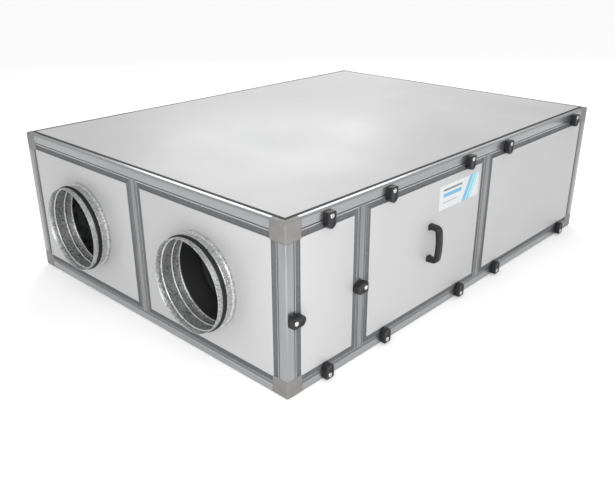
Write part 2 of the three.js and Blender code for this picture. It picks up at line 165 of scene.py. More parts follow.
def turnPiece(name, outline, sides=96, closed=True):
    # outline: (radius, height) pairs in mm, followed ring by ring up and down the Z axis
    dropAll()
    radius, height = outline[0]
    bpy.ops.mesh.primitive_circle_add(vertices=sides, radius=radius * mm, location=(0, 0, height * mm))
    piece = settle(name)
    setPickMode("edge")
    bpy.ops.object.mode_set(mode="EDIT")
    bpy.ops.mesh.select_all(action="SELECT")
    stops = outline[1:] + ([outline[0]] if closed else [])
    for nextRadius, nextHeight in stops:
        rise = (nextHeight - height) * mm
        bpy.ops.mesh.extrude_region_move(TRANSFORM_OT_translate={"value": (0, 0, rise)})
        grow = nextRadius / radius
        bpy.ops.transform.resize(value=(grow, grow, 1), center_override=(0, 0, nextHeight * mm))
        radius, height = nextRadius, nextHeight
    bpy.ops.mesh.select_all(action="SELECT")
    bpy.ops.mesh.remove_doubles(threshold=0.00002)
    bpy.ops.mesh.normals_make_consistent(inside=False)
    objectMode()
    return piece


def useModifier(piece, kind, **settings):
    pickPiece(piece)
    modifier = piece.modifiers.new(kind.lower(), kind)
    for label, value in settings.items():
        setattr(modifier, label, value)
    bpy.ops.object.modifier_apply(modifier=modifier.name)


def softenEdges(piece, width, segments=2, angle=35):
    useModifier(piece, "BEVEL", width=width, segments=segments,
                limit_method="ANGLE", angle_limit=math.radians(angle))


def smoothFaces(piece, angle=35):
    pickPiece(piece)
    bpy.ops.object.shade_smooth_by_angle(angle=math.radians(angle))


def cutAway(piece, cutter):
    useModifier(piece, "BOOLEAN", operation="DIFFERENCE", object=cutter, solver="EXACT")
    dropAll()
    bpy.data.objects.remove(cutter, do_unlink=True)


def placePiece(piece, matrix):
    pickPiece(piece)
    piece.matrix_world = matrix
    bpy.ops.object.transform_apply(location=True, rotation=True, scale=True)
    return piece


def copyPiece(piece, name, matrix):
    twin = piece.copy()
    twin.data = piece.data.copy()
    twin.name = name
    twin.data.name = name
    scene.collection.objects.link(twin)
    return placePiece(twin, matrix)


def joinPieces(pieces):
    dropAll()
    for piece in pieces:
        piece.select_set(True)
    bpy.context.view_layer.objects.active = pieces[0]
    bpy.ops.object.join()
    return pieces[0]


def dropPiece(piece):
    dropAll()
    bpy.data.objects.remove(piece, do_unlink=True)


def facing(first, second, third, place=(0, 0, 0)):
    # matrix that sends X, Y and Z to the three given directions
    turn = Matrix((first, second, third)).transposed().to_4x4()
    return Matrix.Translation(place) @ turn


def camel(node):
    words = node.split("_")
    return words[0] + "".join(w.capitalize() for w in words[1:])


def fitPiece(piece, body, material, slot, *nodes):
    piece.data.materials.clear()
    piece.data.materials.append(material)
    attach(piece, body)
    if nodes:
        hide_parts(*nodes)
    return piece


def addNode(tree, kind, links=None, **settings):
    node = tree.nodes.new("ShaderNode" + kind)
    for label, value in settings.items():
        setattr(node, label, value)
    for socket, value in (links or {}).items():
        if isinstance(value, bpy.types.NodeSocket):
            tree.links.new(value, node.inputs[socket])
        else:
            node.inputs[socket].default_value = value
    return node


def startGroup(name, takes, gives):
    group = bpy.data.node_groups.new(name, "ShaderNodeTree")
    for label, kind, value in takes:
        socket = group.interface.new_socket(label, in_out="INPUT", socket_type="NodeSocket" + kind)
        socket.default_value = value
    for label, kind in gives:
        group.interface.new_socket(label, in_out="OUTPUT", socket_type="NodeSocket" + kind)
    return group, group.nodes.new("NodeGroupInput").outputs, group.nodes.new("NodeGroupOutput").inputs


def useGroup(tree, group, **values):
    node = tree.nodes.new("ShaderNodeGroup")
    node.node_tree = group
    for label, value in values.items():
        node.inputs[label].default_value = value
    return node.outputs


def sums(tree, kind, first, second, clamp=False):
    return addNode(tree, "Math", {0: first, 1: second}, operation=kind, use_clamp=clamp).outputs[0]


def spread(tree, value, low, high, toLow, toHigh):
    return addNode(tree, "MapRange", {"Value": value, "From Min": low, "From Max": high,
                                      "To Min": toLow, "To Max": toHigh}).outputs["Result"]


def blendColour(tree, share, first, second):
    node = addNode(tree, "Mix", {0: share}, data_type="RGBA")
    for socket, value in ((node.inputs[6], first), (node.inputs[7], second)):
        if isinstance(value, bpy.types.NodeSocket):
            tree.links.new(value, socket)
        else:
            socket.default_value = (*value, 1)
    return node.outputs[2]


def setRough(tree, shader, value, low, high, smoothest, roughest):
    tree.links.new(spread(tree, value, low, high, smoothest, roughest), shader.inputs["Roughness"])


def mouldedGrain():
    # fine pebbled skin of paint and moulded plastic
    group, takes, gives = startGroup("mouldedGrain", [("Size", "Float", 900.0), ("Cloud", "Float", 9.0)],
                                     [("Height", "Float"), ("Cloud", "Float")])
    place = addNode(group, "TexCoord").outputs["Object"]
    cells = addNode(group, "TexVoronoi", {"Vector": place, "Scale": takes["Size"]}, feature="SMOOTH_F1")
    fine = addNode(group, "TexNoise", {"Vector": place, "Scale": takes["Size"], "Detail": 3.0})
    cloud = addNode(group, "TexNoise", {"Vector": place, "Scale": takes["Cloud"], "Detail": 5.0,
                                        "Roughness": 0.62})
    height = sums(group, "ADD", cells.outputs["Distance"], fine.outputs["Fac"])
    group.links.new(height, gives["Height"])
    group.links.new(cloud.outputs["Fac"], gives["Cloud"])
    return group


def drawnLines():
    # lengthwise lines left by the die or the brush
    group, takes, gives = startGroup("drawnLines", [("Stretch", "Vector", (4.0, 900.0, 900.0)),
                                                    ("Band", "Vector", (2.0, 160.0, 160.0))],
                                     [("Lines", "Float"), ("Bands", "Float")])
    place = addNode(group, "TexCoord").outputs["Object"]
    thin = addNode(group, "VectorMath", {0: place, 1: takes["Stretch"]}, operation="MULTIPLY")
    wide = addNode(group, "VectorMath", {0: place, 1: takes["Band"]}, operation="MULTIPLY")
    lines = addNode(group, "TexNoise", {"Vector": thin.outputs[0], "Scale": 1.0, "Detail": 3.0})
    bands = addNode(group, "TexNoise", {"Vector": wide.outputs[0], "Scale": 1.0, "Detail": 2.0})
    group.links.new(lines.outputs["Fac"], gives["Lines"])
    group.links.new(bands.outputs["Fac"], gives["Bands"])
    return group


def zincSpangle():
    # frost-like crystals of hot-dip galvanising
    group, takes, gives = startGroup("zincSpangle", [("Size", "Float", 110.0), ("Warp", "Float", 0.006)],
                                     [("Tone", "Float"), ("Fern", "Float"), ("Streak", "Float")])
    place = addNode(group, "TexCoord").outputs["Object"]
    drift = addNode(group, "TexNoise", {"Vector": place, "Scale": 60.0, "Detail": 2.0})
    shift = addNode(group, "VectorMath", {0: drift.outputs["Color"], 1: (0.5, 0.5, 0.5)},
                    operation="SUBTRACT")
    bend = addNode(group, "VectorMath", {0: shift.outputs[0]}, operation="SCALE")
    group.links.new(takes["Warp"], bend.inputs["Scale"])
    moved = addNode(group, "VectorMath", {0: place, 1: bend.outputs[0]}, operation="ADD")
    crystals = addNode(group, "TexVoronoi", {"Vector": moved.outputs[0], "Scale": takes["Size"]})
    apart = addNode(group, "SeparateColor", {"Color": crystals.outputs["Color"]})
    fern = addNode(group, "TexNoise", {"Vector": moved.outputs[0], "Scale": 700.0, "Detail": 4.0})
    streak = addNode(group, "TexNoise", {"Vector": place, "Scale": 14.0, "Detail": 4.0})
    group.links.new(apart.outputs["Red"], gives["Tone"])
    group.links.new(fern.outputs["Fac"], gives["Fern"])
    group.links.new(streak.outputs["Fac"], gives["Streak"])
    return group


def rubbedEdge():
    # mask that is 1 along outside edges, where handling rubs a finish; the panel edge strips use it for a
    # painted edge highlight
    group, takes, gives = startGroup("rubbedEdge", [("Reach", "Float", 0.0012), ("Ragged", "Float", 240.0)],
                                     [("Mask", "Float")])
    rounded = addNode(group, "Bevel", {"Radius": takes["Reach"]}, samples=4)
    flat = addNode(group, "NewGeometry").outputs["Normal"]
    match = addNode(group, "VectorMath", {0: rounded.outputs[0], 1: flat}, operation="DOT_PRODUCT")
    edge = spread(group, match.outputs["Value"], 0.995, 0.86, 0.0, 1.0)
    place = addNode(group, "TexCoord").outputs["Object"]
    ragged = addNode(group, "TexNoise", {"Vector": place, "Scale": takes["Ragged"], "Detail": 3.0})
    broken = spread(group, ragged.outputs["Fac"], 0.35, 0.65, 0.25, 1.0)
    group.links.new(sums(group, "MULTIPLY", edge, broken, clamp=True), gives["Mask"])
    return group


def settledDust():
    # dust lies on faces that look up
    group, takes, gives = startGroup("settledDust", [("Amount", "Float", 0.3)], [("Mask", "Float")])
    up = addNode(group, "SeparateXYZ", {0: addNode(group, "NewGeometry").outputs["Normal"]}).outputs["Z"]
    place = addNode(group, "TexCoord").outputs["Object"]
    patches = addNode(group, "TexNoise", {"Vector": place, "Scale": 6.0, "Detail": 6.0, "Roughness": 0.7})
    level = spread(group, up, 0.2, 1.0, 0.0, 1.0)
    cover = sums(group, "MULTIPLY", level, spread(group, patches.outputs["Fac"], 0.3, 0.75, 0.2, 1.0))
    group.links.new(sums(group, "MULTIPLY", cover, takes["Amount"], clamp=True), gives["Mask"])
    return group


grainGroup = mouldedGrain()
linesGroup = drawnLines()
spangleGroup = zincSpangle()
edgeGroup = rubbedEdge()
dustGroup = settledDust()


def startMaterial(name, **constants):
    material = bpy.data.materials.new(name)
    material.use_nodes = True
    tree = material.node_tree
    shader = tree.nodes["Principled BSDF"]
    for label, value in constants.items():
        shader.inputs[label.replace("_", " ")].default_value = value
    return material, tree, shader


def setBump(tree, shader, height, strength, distance):
    bump = addNode(tree, "Bump", {"Height": height, "Strength": strength, "Distance": distance})
    tree.links.new(bump.outputs[0], shader.inputs["Normal"])


def paintMaterial(name, colour, shade, rough=0.42, grain=700.0, bump=0.10, dust=0.10, wearAndHighlight=0.0,
                  bareSheetAndHighlightTone=(0.55, 0.56, 0.57), cloud=5.0):
    # powder coat over sheet metal
    material, tree, shader = startMaterial(name)
    skin = useGroup(tree, grainGroup, Size=grain, Cloud=cloud)
    tint = blendColour(tree, spread(tree, skin["Cloud"], 0.3, 0.7, 0.0, 1.0), colour, shade)
    lying = useGroup(tree, dustGroup, Amount=dust)["Mask"]
    tint = blendColour(tree, lying, tint, (0.50, 0.48, 0.45))
    # outside edges paler: worn paint showing the sheet on most finishes, a painted edge highlight on the
    # panel edge strips
    if wearAndHighlight:
        wornAndHighlit = sums(tree, "MULTIPLY", useGroup(tree, edgeGroup)["Mask"], wearAndHighlight)
        tint = blendColour(tree, wornAndHighlit, tint, bareSheetAndHighlightTone)
    tree.links.new(tint, shader.inputs["Base Color"])
    setRough(tree, shader, skin["Cloud"], 0.25, 0.75, rough - 0.07, rough + 0.08)
    setBump(tree, shader, skin["Height"], bump, 0.0004)
    return material


def metalMaterial(name, along, colour=(0.375, 0.38, 0.385), shade=(0.325, 0.33, 0.34), rough=0.30,
                  bump=0.05, wearAndHighlight=0.35, metallic=0.9):
    # drawn aluminium, its lines running the way the profile runs
    material, tree, shader = startMaterial(name, Metallic=metallic)
    stretch = [3.0 if axis == along else 1300.0 for axis in range(3)]
    band = [1.2 if axis == along else 190.0 for axis in range(3)]
    drawn = useGroup(tree, linesGroup, Stretch=stretch, Band=band)
    tint = blendColour(tree, spread(tree, drawn["Bands"], 0.32, 0.68, 0.0, 1.0), colour, shade)
    wornAndHighlit = sums(tree, "MULTIPLY", useGroup(tree, edgeGroup, Reach=0.0008)["Mask"], wearAndHighlight)
    tint = blendColour(tree, wornAndHighlit, tint, (0.86, 0.87, 0.88))
    tree.links.new(tint, shader.inputs["Base Color"])
    setRough(tree, shader, drawn["Lines"], 0.3, 0.7, rough - 0.08, rough + 0.1)
    setBump(tree, shader, drawn["Lines"], bump, 0.0002)
    return material


def zincMaterial(name, bright, dull, size, rough, bump=0.03, metallic=0.9):
    # galvanised sheet with its frosted crystals
    material, tree, shader = startMaterial(name, Metallic=metallic)
    zinc = useGroup(tree, spangleGroup, Size=size)
    fern = spread(tree, zinc["Fern"], 0.0, 1.0, -0.2, 0.25)
    tone = sums(tree, "ADD", zinc["Tone"], fern, clamp=True)
    tint = blendColour(tree, tone, dull, bright)
    tint = blendColour(tree, spread(tree, zinc["Streak"], 0.55, 0.8, 0.0, 0.35), tint, (0.80, 0.80, 0.79))
    tree.links.new(tint, shader.inputs["Base Color"])
    setRough(tree, shader, zinc["Tone"], 0.0, 1.0, rough - 0.1, rough + 0.16)
    setBump(tree, shader, zinc["Fern"], bump, 0.0003)
    return material


def mouldedMaterial(name, colour, shade, rough=0.5, grain=1400.0, bump=0.22, wearAndHighlight=0.3,
                    rubbedTo=(0.2, 0.2, 0.2), dust=0.12, gloss=0.35):
    # textured plastic, paler where hands rub it
    material, tree, shader = startMaterial(name, Specular_IOR_Level=gloss)
    skin = useGroup(tree, grainGroup, Size=grain, Cloud=30.0)
    tint = blendColour(tree, spread(tree, skin["Cloud"], 0.3, 0.7, 0.0, 1.0), colour, shade)
    wornAndHighlit = sums(tree, "MULTIPLY", useGroup(tree, edgeGroup, Reach=0.001)["Mask"], wearAndHighlight)
    tint = blendColour(tree, wornAndHighlit, tint, rubbedTo)
    lying = useGroup(tree, dustGroup, Amount=dust)["Mask"]
    tint = blendColour(tree, lying, tint, (0.34, 0.33, 0.31))
    tree.links.new(tint, shader.inputs["Base Color"])
    setRough(tree, shader, skin["Cloud"], 0.25, 0.75, rough - 0.06, rough + 0.1)
    setBump(tree, shader, skin["Height"], bump, 0.0003)
    return material


railAlong = [metalMaterial("railLengthways", 0), metalMaterial("railCrossways", 1),
             metalMaterial("railUpright", 2)]
midPostFinish = metalMaterial("midPostMetal", 2, (0.305, 0.308, 0.312), (0.265, 0.268, 0.272))
beadFinish = metalMaterial("panelBeadMetal", 2, (0.62, 0.62, 0.62), (0.50, 0.50, 0.50), 0.26, 0.03)
screwFinish = metalMaterial("screwSteel", 2, (0.72, 0.72, 0.70), (0.55, 0.55, 0.53), 0.24, 0.05, 0.4, 1.0)
whiteCoat = paintMaterial("whiteCoat", (0.482, 0.482, 0.485), (0.468, 0.469, 0.473),
                          wearAndHighlight=0.12, dust=0.02, cloud=3.0)
# the paler rims and rib edges of this dark strip are a painted edge highlight
bandFinish = paintMaterial("panelEdgeStrip", (0.105, 0.11, 0.117), (0.075, 0.08, 0.087),
                           0.45, 1100.0, 0.1, 0.08, 0.5, (0.34, 0.35, 0.37))
darkCoat = paintMaterial("darkCoat", (0.016, 0.0165, 0.018), (0.024, 0.0245, 0.026),
                         0.55, 900.0, 0.12, 0.02)
zincBright = zincMaterial("zincBright", (0.66, 0.665, 0.67), (0.34, 0.345, 0.35), 300.0, 0.36, 0.02, 0.8)
zincInner = zincMaterial("zincInner", (0.52, 0.53, 0.54), (0.33, 0.35, 0.37), 70.0, 0.42)
cornerFinish = mouldedMaterial("cornerMoulding", (0.215, 0.212, 0.205), (0.185, 0.182, 0.175),
                               0.5, 1500.0, 0.2, 0.3, (0.36, 0.355, 0.345), 0.08)
clampFinish = mouldedMaterial("clampMoulding", (0.012, 0.0125, 0.014), (0.018, 0.0185, 0.0205),
                              0.42, 1300.0, 0.18, 0.6, (0.075, 0.076, 0.08), 0.03)
sealRubber = mouldedMaterial("sealRubber", (0.005, 0.005, 0.0055), (0.009, 0.009, 0.0095),
                             0.5, 1800.0, 0.12, 0.3, (0.03, 0.03, 0.03), 0.02)
gasketFoam = mouldedMaterial("gasketFoam", (0.030, 0.031, 0.033), (0.045, 0.046, 0.048),
                             0.85, 500.0, 0.5, 0.0)
print("materials made")

# the axis and the sign of each side's outward direction
sides = {"left": (0, -1), "right": (0, 1), "front": (1, -1), "back": (1, 1), "bottom": (2, -1), "top": (2, 1)}

profile = {"width": 30.0, "rounding": 5.0, "grooveAt": 25.0, "grooveTo": 27.2, "grooveDepth": 3.6,
           "finReach": 18.0, "finFrom": 28.5, "cornerGap": 50.3, "edgeSoft": 0.5}


def makeRail(name, length):
    # along X from -length/2, its outer corner on the X axis, its body towards +Y and +Z
    width = profile["width"] * mm
    rail = startBox(name, (-length / 2, 0, 0), (length / 2, width, width))
    cuts = [profile[key] * mm for key in ("grooveAt", "grooveTo", "finFrom")]
    slicePiece(rail, 1, cuts)
    slicePiece(rail, 2, cuts)
    depth = profile["grooveDepth"] * mm
    start, end, fin = cuts
    pull(rail, lambda c, n: n.y < -0.9 and start < c.z < end, (0, depth, 0))
    pull(rail, lambda c, n: n.z < -0.9 and start < c.y < end, (0, 0, depth))
    reach = profile["finReach"] * mm
    pull(rail, lambda c, n: n.z > 0.9 and c.y > fin and near(c.z, width), (0, 0, reach))
    pull(rail, lambda c, n: n.y > 0.9 and c.z > fin and near(c.y, width), (0, reach, 0))
    roundEdges(rail, lambda c, d: abs(d.x) > 0.9 and c.y < 1e-5 and c.z < 1e-5, profile["rounding"] * mm, 6)
    softenEdges(rail, profile["edgeSoft"] * mm, 2, 60)
    smoothFaces(rail, 32)
    return rail


def makeFrame():
    # node names say which two sides of the casing each profile joins
    size = casingHigh - casingLow
    blanks = [makeRail("railBlank", size[axis] - 2 * profile["cornerGap"] * mm) for axis in range(3)]
    middle = (casingLow + casingHigh) / 2
    for node in sorted(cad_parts):
        words = node.split("_")
        if words[0] not in ("rail", "post"):
            continue
        along = ({0, 1, 2} - {sides[word][0] for word in words[1:]}).pop()
        place, inward = middle.copy(), []
        for word in words[1:]:
            axis, sign = sides[word]
            place[axis] = (casingHigh if sign > 0 else casingLow)[axis]
            inward.append(Vector([-sign if i == axis else 0 for i in range(3)]))
        run = inward[0].cross(inward[1])
        rail = copyPiece(blanks[along], camel(node), facing(run, *inward, place))
        fitPiece(rail, "casing", railAlong[along], "frame_aluminium", node)
    for blank in blanks:
        dropPiece(blank)


cornerShape = {"arm": 50.0, "width": 30.0, "rounding": 5.0, "seamSoft": 0.7}


def makeCorners():
    arm, width = cornerShape["arm"] * mm, cornerShape["width"] * mm
    blank = startBox("cornerBlank", (0, 0, 0), (width, width, width))
    for axis in range(3):
        move = [arm - width if i == axis else 0 for i in range(3)]
        pull(blank, lambda c, n: n[axis] > 0.9 and near(c[axis], width), move)
    outer = lambda c, d: sum(v < 1e-5 for v in c) == 2
    roundEdges(blank, outer, cornerShape["rounding"] * mm, 6)
    softenEdges(blank, cornerShape["seamSoft"] * mm, 3, 40)
    smoothFaces(blank, 32)
    for node in sorted(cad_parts):
        words = node.split("_")
        if words[0] != "corner":
            continue
        inX = 1 if words[2] == "left" else -1
        inY = 1 if words[3] == "front" else -1
        inZ = 1 if words[1] == "bottom" else -1
        place = (casingLow.x if inX > 0 else casingHigh.x, casingLow.y if inY > 0 else casingHigh.y,
                 casingLow.z if inZ > 0 else casingHigh.z)
        turns = [Vector((inX, 0, 0)), Vector((0, inY, 0)), Vector((0, 0, inZ))]
        if inX * inY * inZ < 0:
            turns[0], turns[1] = turns[1], turns[0]
        corner = copyPiece(blank, camel(node), facing(*turns, place))
        fitPiece(corner, "casing", cornerFinish, "corner_plastic", node)
    dropPiece(blank)


midPost = {"grooveAt": 2.6, "grooveTo": 4.6, "grooveDepth": 3.2, "finReach": 18.0, "finThick": 1.4,
           "soft": 0.5}


def makeMidPosts():
    for node, outward in (("mid_post_front_1", 1), ("mid_post_front_2", 1), ("mid_post_left", 0)):
        low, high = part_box(node)
        across = 1 - outward
        reach = midPost["finReach"] * mm
        boxLow, boxHigh = low.copy(), high.copy()
        boxLow[across] += reach
        boxHigh[across] -= reach
        post = startBox(camel(node), boxLow, boxHigh)
        start, end = midPost["grooveAt"] * mm, midPost["grooveTo"] * mm
        slicePiece(post, across, [boxLow[across] + start, boxLow[across] + end,
                                  boxHigh[across] - end, boxHigh[across] - start])
        slicePiece(post, outward, [boxHigh[outward] - midPost["finThick"] * mm])
        move = [midPost["grooveDepth"] * mm if i == outward else 0 for i in range(3)]
        inGroove = lambda c: start < min(c[across] - boxLow[across], boxHigh[across] - c[across]) < end
        pull(post, lambda c, n: n[outward] < -0.9 and inGroove(c), move)
        finAt = boxHigh[outward] - midPost["finThick"] * mm
        for sign in (-1, 1):
            move = [sign * reach if i == across else 0 for i in range(3)]
            pull(post, lambda c, n: n[across] * sign > 0.9 and c[outward] > finAt
                 and near(c[across], (boxHigh if sign > 0 else boxLow)[across]), move)
        softenEdges(post, midPost["soft"] * mm, 2, 60)
        smoothFaces(post, 32)
        fitPiece(post, "casing", midPostFinish, "frame_aluminium", node)


makeFrame()
makeCorners()
makeMidPosts()
print("frame profiles, corners and middle posts made")

sheet = {"inset": 16.5, "proud": 3.0, "skinSoft": 1.1, "ribs": 8, "ribDepth": 0.7, "ribMargin": 1.0,
         "lining": 0.8, "pressAt": 22.0, "pressWide": 4.0, "pressDeep": 0.5,
         "beadWide": 1.7, "beadHigh": 1.5, "beadSoft": 0.6}


def shrunk(low, high, axis, amount):
    # the same box, smaller on every side but the one the panel faces
    push = Vector([0 if i == axis else amount for i in range(3)])
    return low + push, high - push


def slab(low, high, axis, sign, near0, far0):
    # a slice of a wall between two depths, measured in from its outer face
    low, high = low.copy(), high.copy()
    if sign > 0:
        low[axis], high[axis] = high[axis] - far0 * mm, high[axis] - near0 * mm
    else:
        low[axis], high[axis] = low[axis] + near0 * mm, low[axis] + far0 * mm
    return low, high


def makeBead(name, low, high, axis, sign, body):
    # thin metal lip round the outer edge of a panel
    proud = sheet["proud"]
    bead = startBox(name + "Bead", *slab(low, high, axis, sign, proud - sheet["beadHigh"], proud - 0.02))
    openFrame(bead, axis, sheet["beadWide"])
    softenEdges(bead, sheet["beadSoft"] * mm, 2, 50)
    smoothFaces(bead, 50)
    fitPiece(bead, body, beadFinish, "panel_coat")


def boreHoles(pieces, holes, axis, radius):
    for piece in pieces:
        for centre in holes:
            cutter = startDisc("holeCutter", radius * mm, -0.1, 0.1, 96)
            turn = Matrix.Rotation(math.radians(90), 4, "Y" if axis == 0 else "X")
            placePiece(cutter, Matrix.Translation(centre) @ turn)
            cutAway(piece, cutter)


def makeWallPanel(node, side, body="casing", holes=()):
    axis, sign = sides[side]
    low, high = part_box(node)
    thick = (high - low)[axis] / mm
    name = camel(node)
    proud, lining = sheet["proud"], sheet["lining"]
    skinLow, skinHigh = shrunk(*slab(low, high, axis, sign, 0, proud - 0.05), axis, sheet["inset"] * mm)
    skin = startBox(name + "Skin", skinLow, skinHigh)
    strip = startBox(name + "Strip", *slab(low, high, axis, sign, proud, thick - lining - 0.05))
    step = (sheet["inset"] - sheet["ribMargin"] - 0.4) / sheet["ribs"]
    rise = sheet["ribDepth"]
    rib = [(0.28 * step, -rise), (0.22 * step, 0), (0.28 * step, rise), (0.22 * step, 0)]
    pressFaces(strip, lambda c, n: n[axis] * sign > 0.9, (sheet["ribMargin"], 0), *rib * sheet["ribs"])
    backLow, backHigh = shrunk(*slab(low, high, axis, sign, thick - lining, thick), axis, 0.001)
    back = startBox(name + "Lining", backLow, backHigh)
    pressFaces(back, lambda c, n: n[axis] * sign < -0.9,
               (sheet["pressAt"], 0), (sheet["pressWide"], -sheet["pressDeep"]))
    if holes:
        boreHoles([skin, strip, back], holes, axis, spigot["hole"])
    softenEdges(skin, sheet["skinSoft"] * mm, 3, 50)
    softenEdges(strip, 0.15 * mm, 1, 60)
    for piece in (skin, strip, back):
        smoothFaces(piece, 30)
    fitPiece(skin, body, whiteCoat, "panel_coat", node)
    fitPiece(strip, body, bandFinish, "panel_coat")
    fitPiece(back, body, zincInner, "galvanised_steel")
    makeBead(name, low, high, axis, sign, body)


# collar outlines: (depth behind the rim, radius) in mm
spigot = {"hole": 125.2, "sides": 96, "length": 80.0, "smooth": 40,
          "rivetAt": 38.0, "rivetTurns": (40, 160, 280),
          "outside": [(0.0, 123.3), (0.6, 124.0), (14.6, 124.0), (15.0, 123.2), (27.2, 123.2), (27.5, 124.1),
                      (28.1, 125.3), (29.1, 125.9), (30.2, 125.4), (31.0, 124.1), (31.6, 124.0),
                      (44.2, 124.0), (44.8, 124.6), (45.6, 126.2), (46.7, 126.9), (46.75, 128.4),
                      (47.3, 129.0), (51.6, 129.0), (51.6, 124.3), (52.4, 124.0), (79.4, 124.0),
                      (80.0, 123.5), (79.6, 122.6)],
          "inside": [(78.6, 122.0), (78.2, 121.2), (77.0, 120.8), (75.8, 121.2), (75.2, 122.2), (74.0, 122.9),
                     (55.6, 122.9), (55.2, 121.8), (54.4, 121.0), (53.0, 120.7), (51.8, 121.2), (51.2, 122.2),
                     (50.4, 122.9), (24.4, 122.9), (23.8, 121.4), (22.6, 120.3), (20.8, 119.9), (19.0, 120.3),
                     (17.8, 121.4), (17.2, 122.9), (0.5, 122.9)],
          "lips": [(15.4, 123.3), (15.4, 125.9), (16.2, 126.9), (17.6, 127.4), (18.4, 126.8), (19.3, 125.3),
                   (21.0, 125.1), (22.0, 126.4), (23.2, 127.4), (24.2, 127.0), (25.0, 125.4), (26.6, 125.0),
                   (26.8, 123.3)],
          "duct": [(0.4, 122.9), (0.4, 124.0), (8.0, 124.0), (10.0, 125.6), (14.0, 125.6), (16.0, 124.0)],
          "ductRim": [(-0.6, 124.0), (0.0, 123.5), (-0.6, 122.9)]}


def makeSpigots():
    for node in ("spigot_outdoor_air", "spigot_exhaust_air", "spigot_extract_air", "spigot_supply_air"):
        low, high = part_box(node)
        name, centre = camel(node), (low + high) / 2
        sign = 1 if centre.x > 0 else -1
        rim = high.x if sign > 0 else low.x
        turn = facing((0, 1, 0), (0, 0, sign), (sign, 0, 0), (rim, centre.y, centre.z))

        def turnRing(label, outline, finish, slot, *nodes):
            ring = turnPiece(name + label, [(r, -d) for d, r in outline], spigot["sides"])
            placePiece(ring, turn)
            smoothFaces(ring, spigot["smooth"])
            fitPiece(ring, "casing", finish, slot, *nodes)

        turnRing("Collar", spigot["outside"] + spigot["inside"], zincBright, "galvanised_steel", node)
        turnRing("Seal", spigot["lips"], sealRubber, "seal_rubber")
        whole, length = (high.x - low.x) / mm, spigot["length"]
        if whole > length + 1:
            # the duct piece that holds the damper, coated dark, behind the collar
            front = [(length + d, r) for d, r in spigot["duct"]]
            rear = [(whole + d, r) for d, r in spigot["ductRim"]]
            turnRing("DamperDuct", front + rear, darkCoat, "damper_paint")
        for angle in spigot["rivetTurns"]:
            x = rim - sign * spigot["rivetAt"] * mm
            makeRivet("%sRivet%d" % (name, angle), x, centre, math.radians(angle))


rivet = {"radius": 2.4, "head": 0.9, "seat": 123.8, "soft": 0.55, "rim": 0.5, "slope": 0.12, "dimple": 0.35}


def makeRivet(name, x, centre, angle):
    head = startDisc(name, rivet["radius"] * mm, 0, rivet["head"] * mm, 20)
    pickFaces(head, lambda c, n: n.z > 0.9)
    bpy.ops.mesh.bevel(offset=rivet["soft"] * mm, segments=3, affect="EDGES")
    bpy.ops.mesh.inset(thickness=rivet["rim"] * mm, depth=0)
    bpy.ops.mesh.inset(thickness=rivet["slope"] * mm, depth=-rivet["dimple"] * mm)
    objectMode()
    out = Vector((0, math.cos(angle), math.sin(angle)))
    place = Vector((x, centre.y, centre.z)) + out * rivet["seat"] * mm
    placePiece(head, facing((1, 0, 0), out.cross(Vector((1, 0, 0))), out, place))
    smoothFaces(head, 30)
    fitPiece(head, "casing", screwFinish, "screw_steel")


def spigotCentres(*nodes):
    return [sum(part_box(node), Vector()) / 2 for node in nodes]


lid = {"rise": 1.3, "skinDeep": 1.1, "soft": 0.5, "gasketShows": 8.0, "gasketHigh": 0.8, "gasketWidth": 18.0,
       "coreTop": 449.4, "coreClear": 0.5, "pressAt": 30.0, "pressWide": 4.0, "pressDeep": 0.6}


def makeLid():
    # a skin level with the rails, a dark gasket that shows round it, and the insulated core between the rails
    low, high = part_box("top_panel")
    shows, rise, seat = lid["gasketShows"] * mm, lid["rise"] * mm, casingHigh.z
    skin = startBox("lidSkin", (low.x + shows, low.y + shows, seat + rise - lid["skinDeep"] * mm),
                    (high.x - shows, high.y - shows, seat + rise))
    softenEdges(skin, lid["soft"] * mm, 3, 50)
    smoothFaces(skin, 30)
    fitPiece(skin, "casing", whiteCoat, "panel_coat", "top_panel")
    gasket = startBox("lidGasket", (low.x, low.y, seat + 0.05 * mm),
                      (high.x, high.y, seat + lid["gasketHigh"] * mm))
    openFrame(gasket, 2, lid["gasketWidth"])
    fitPiece(gasket, "casing", gasketFoam, "gasket_grey")
    inset = (profile["width"] + lid["coreClear"]) * mm
    core = startBox("lidCore", (casingLow.x + inset, casingLow.y + inset, low.z),
                    (casingHigh.x - inset, casingHigh.y - inset, lid["coreTop"] * mm))
    pressFaces(core, lambda c, n: n.z < -0.9, (lid["pressAt"], 0), (lid["pressWide"], -lid["pressDeep"]))
    fitPiece(core, "casing", zincInner, "galvanised_steel")


makeWallPanel("service_panel_1", "front", "cover_1")
makeWallPanel("service_panel_2", "front", "cover_2")
makeWallPanel("service_panel_3", "front", "cover_3")
makeWallPanel("end_panel_left_front", "left", "casing", spigotCentres("spigot_outdoor_air"))
makeWallPanel("end_panel_left_back", "left", "casing", spigotCentres("spigot_exhaust_air"))
makeWallPanel("end_panel_right", "right", "casing", spigotCentres("spigot_extract_air", "spigot_supply_air"))
makeWallPanel("back_panel", "back")
makeLid()
makeSpigots()
print("panels, lid and spigots made")

clamp = {"half": 14.0, "heel": 10.0, "nose": 31.0, "deep": 17.0, "noseRound": 13.8, "heelRound": 4.0,
         "faceSoft": 1.6, "recess": 7.4, "recessDeep": 2.2, "dish": 8.5, "dishDeep": 1.1, "dishAt": 17.5}
screw = {"radius": 6.4, "dome": 2.6, "socket": 2.4, "socketDeep": 1.6}


def makeScrew(name, radius, dome, socket, socketDeep, sides=32):
    # a round head on the XY plane with a hexagon socket
    head = startDisc(name, radius * mm, 0, dome * mm, sides)
    pickEdges(head, lambda c, d: near(c.z, dome * mm))
    bpy.ops.mesh.bevel(offset=dome * 0.6 * mm, segments=4, affect="EDGES")
    objectMode()
    hexagon = startDisc("socketCutter", socket * mm, (dome - socketDeep) * mm, dome * 2 * mm, 6)
    cutAway(head, hexagon)
    smoothFaces(head, 35)
    return head


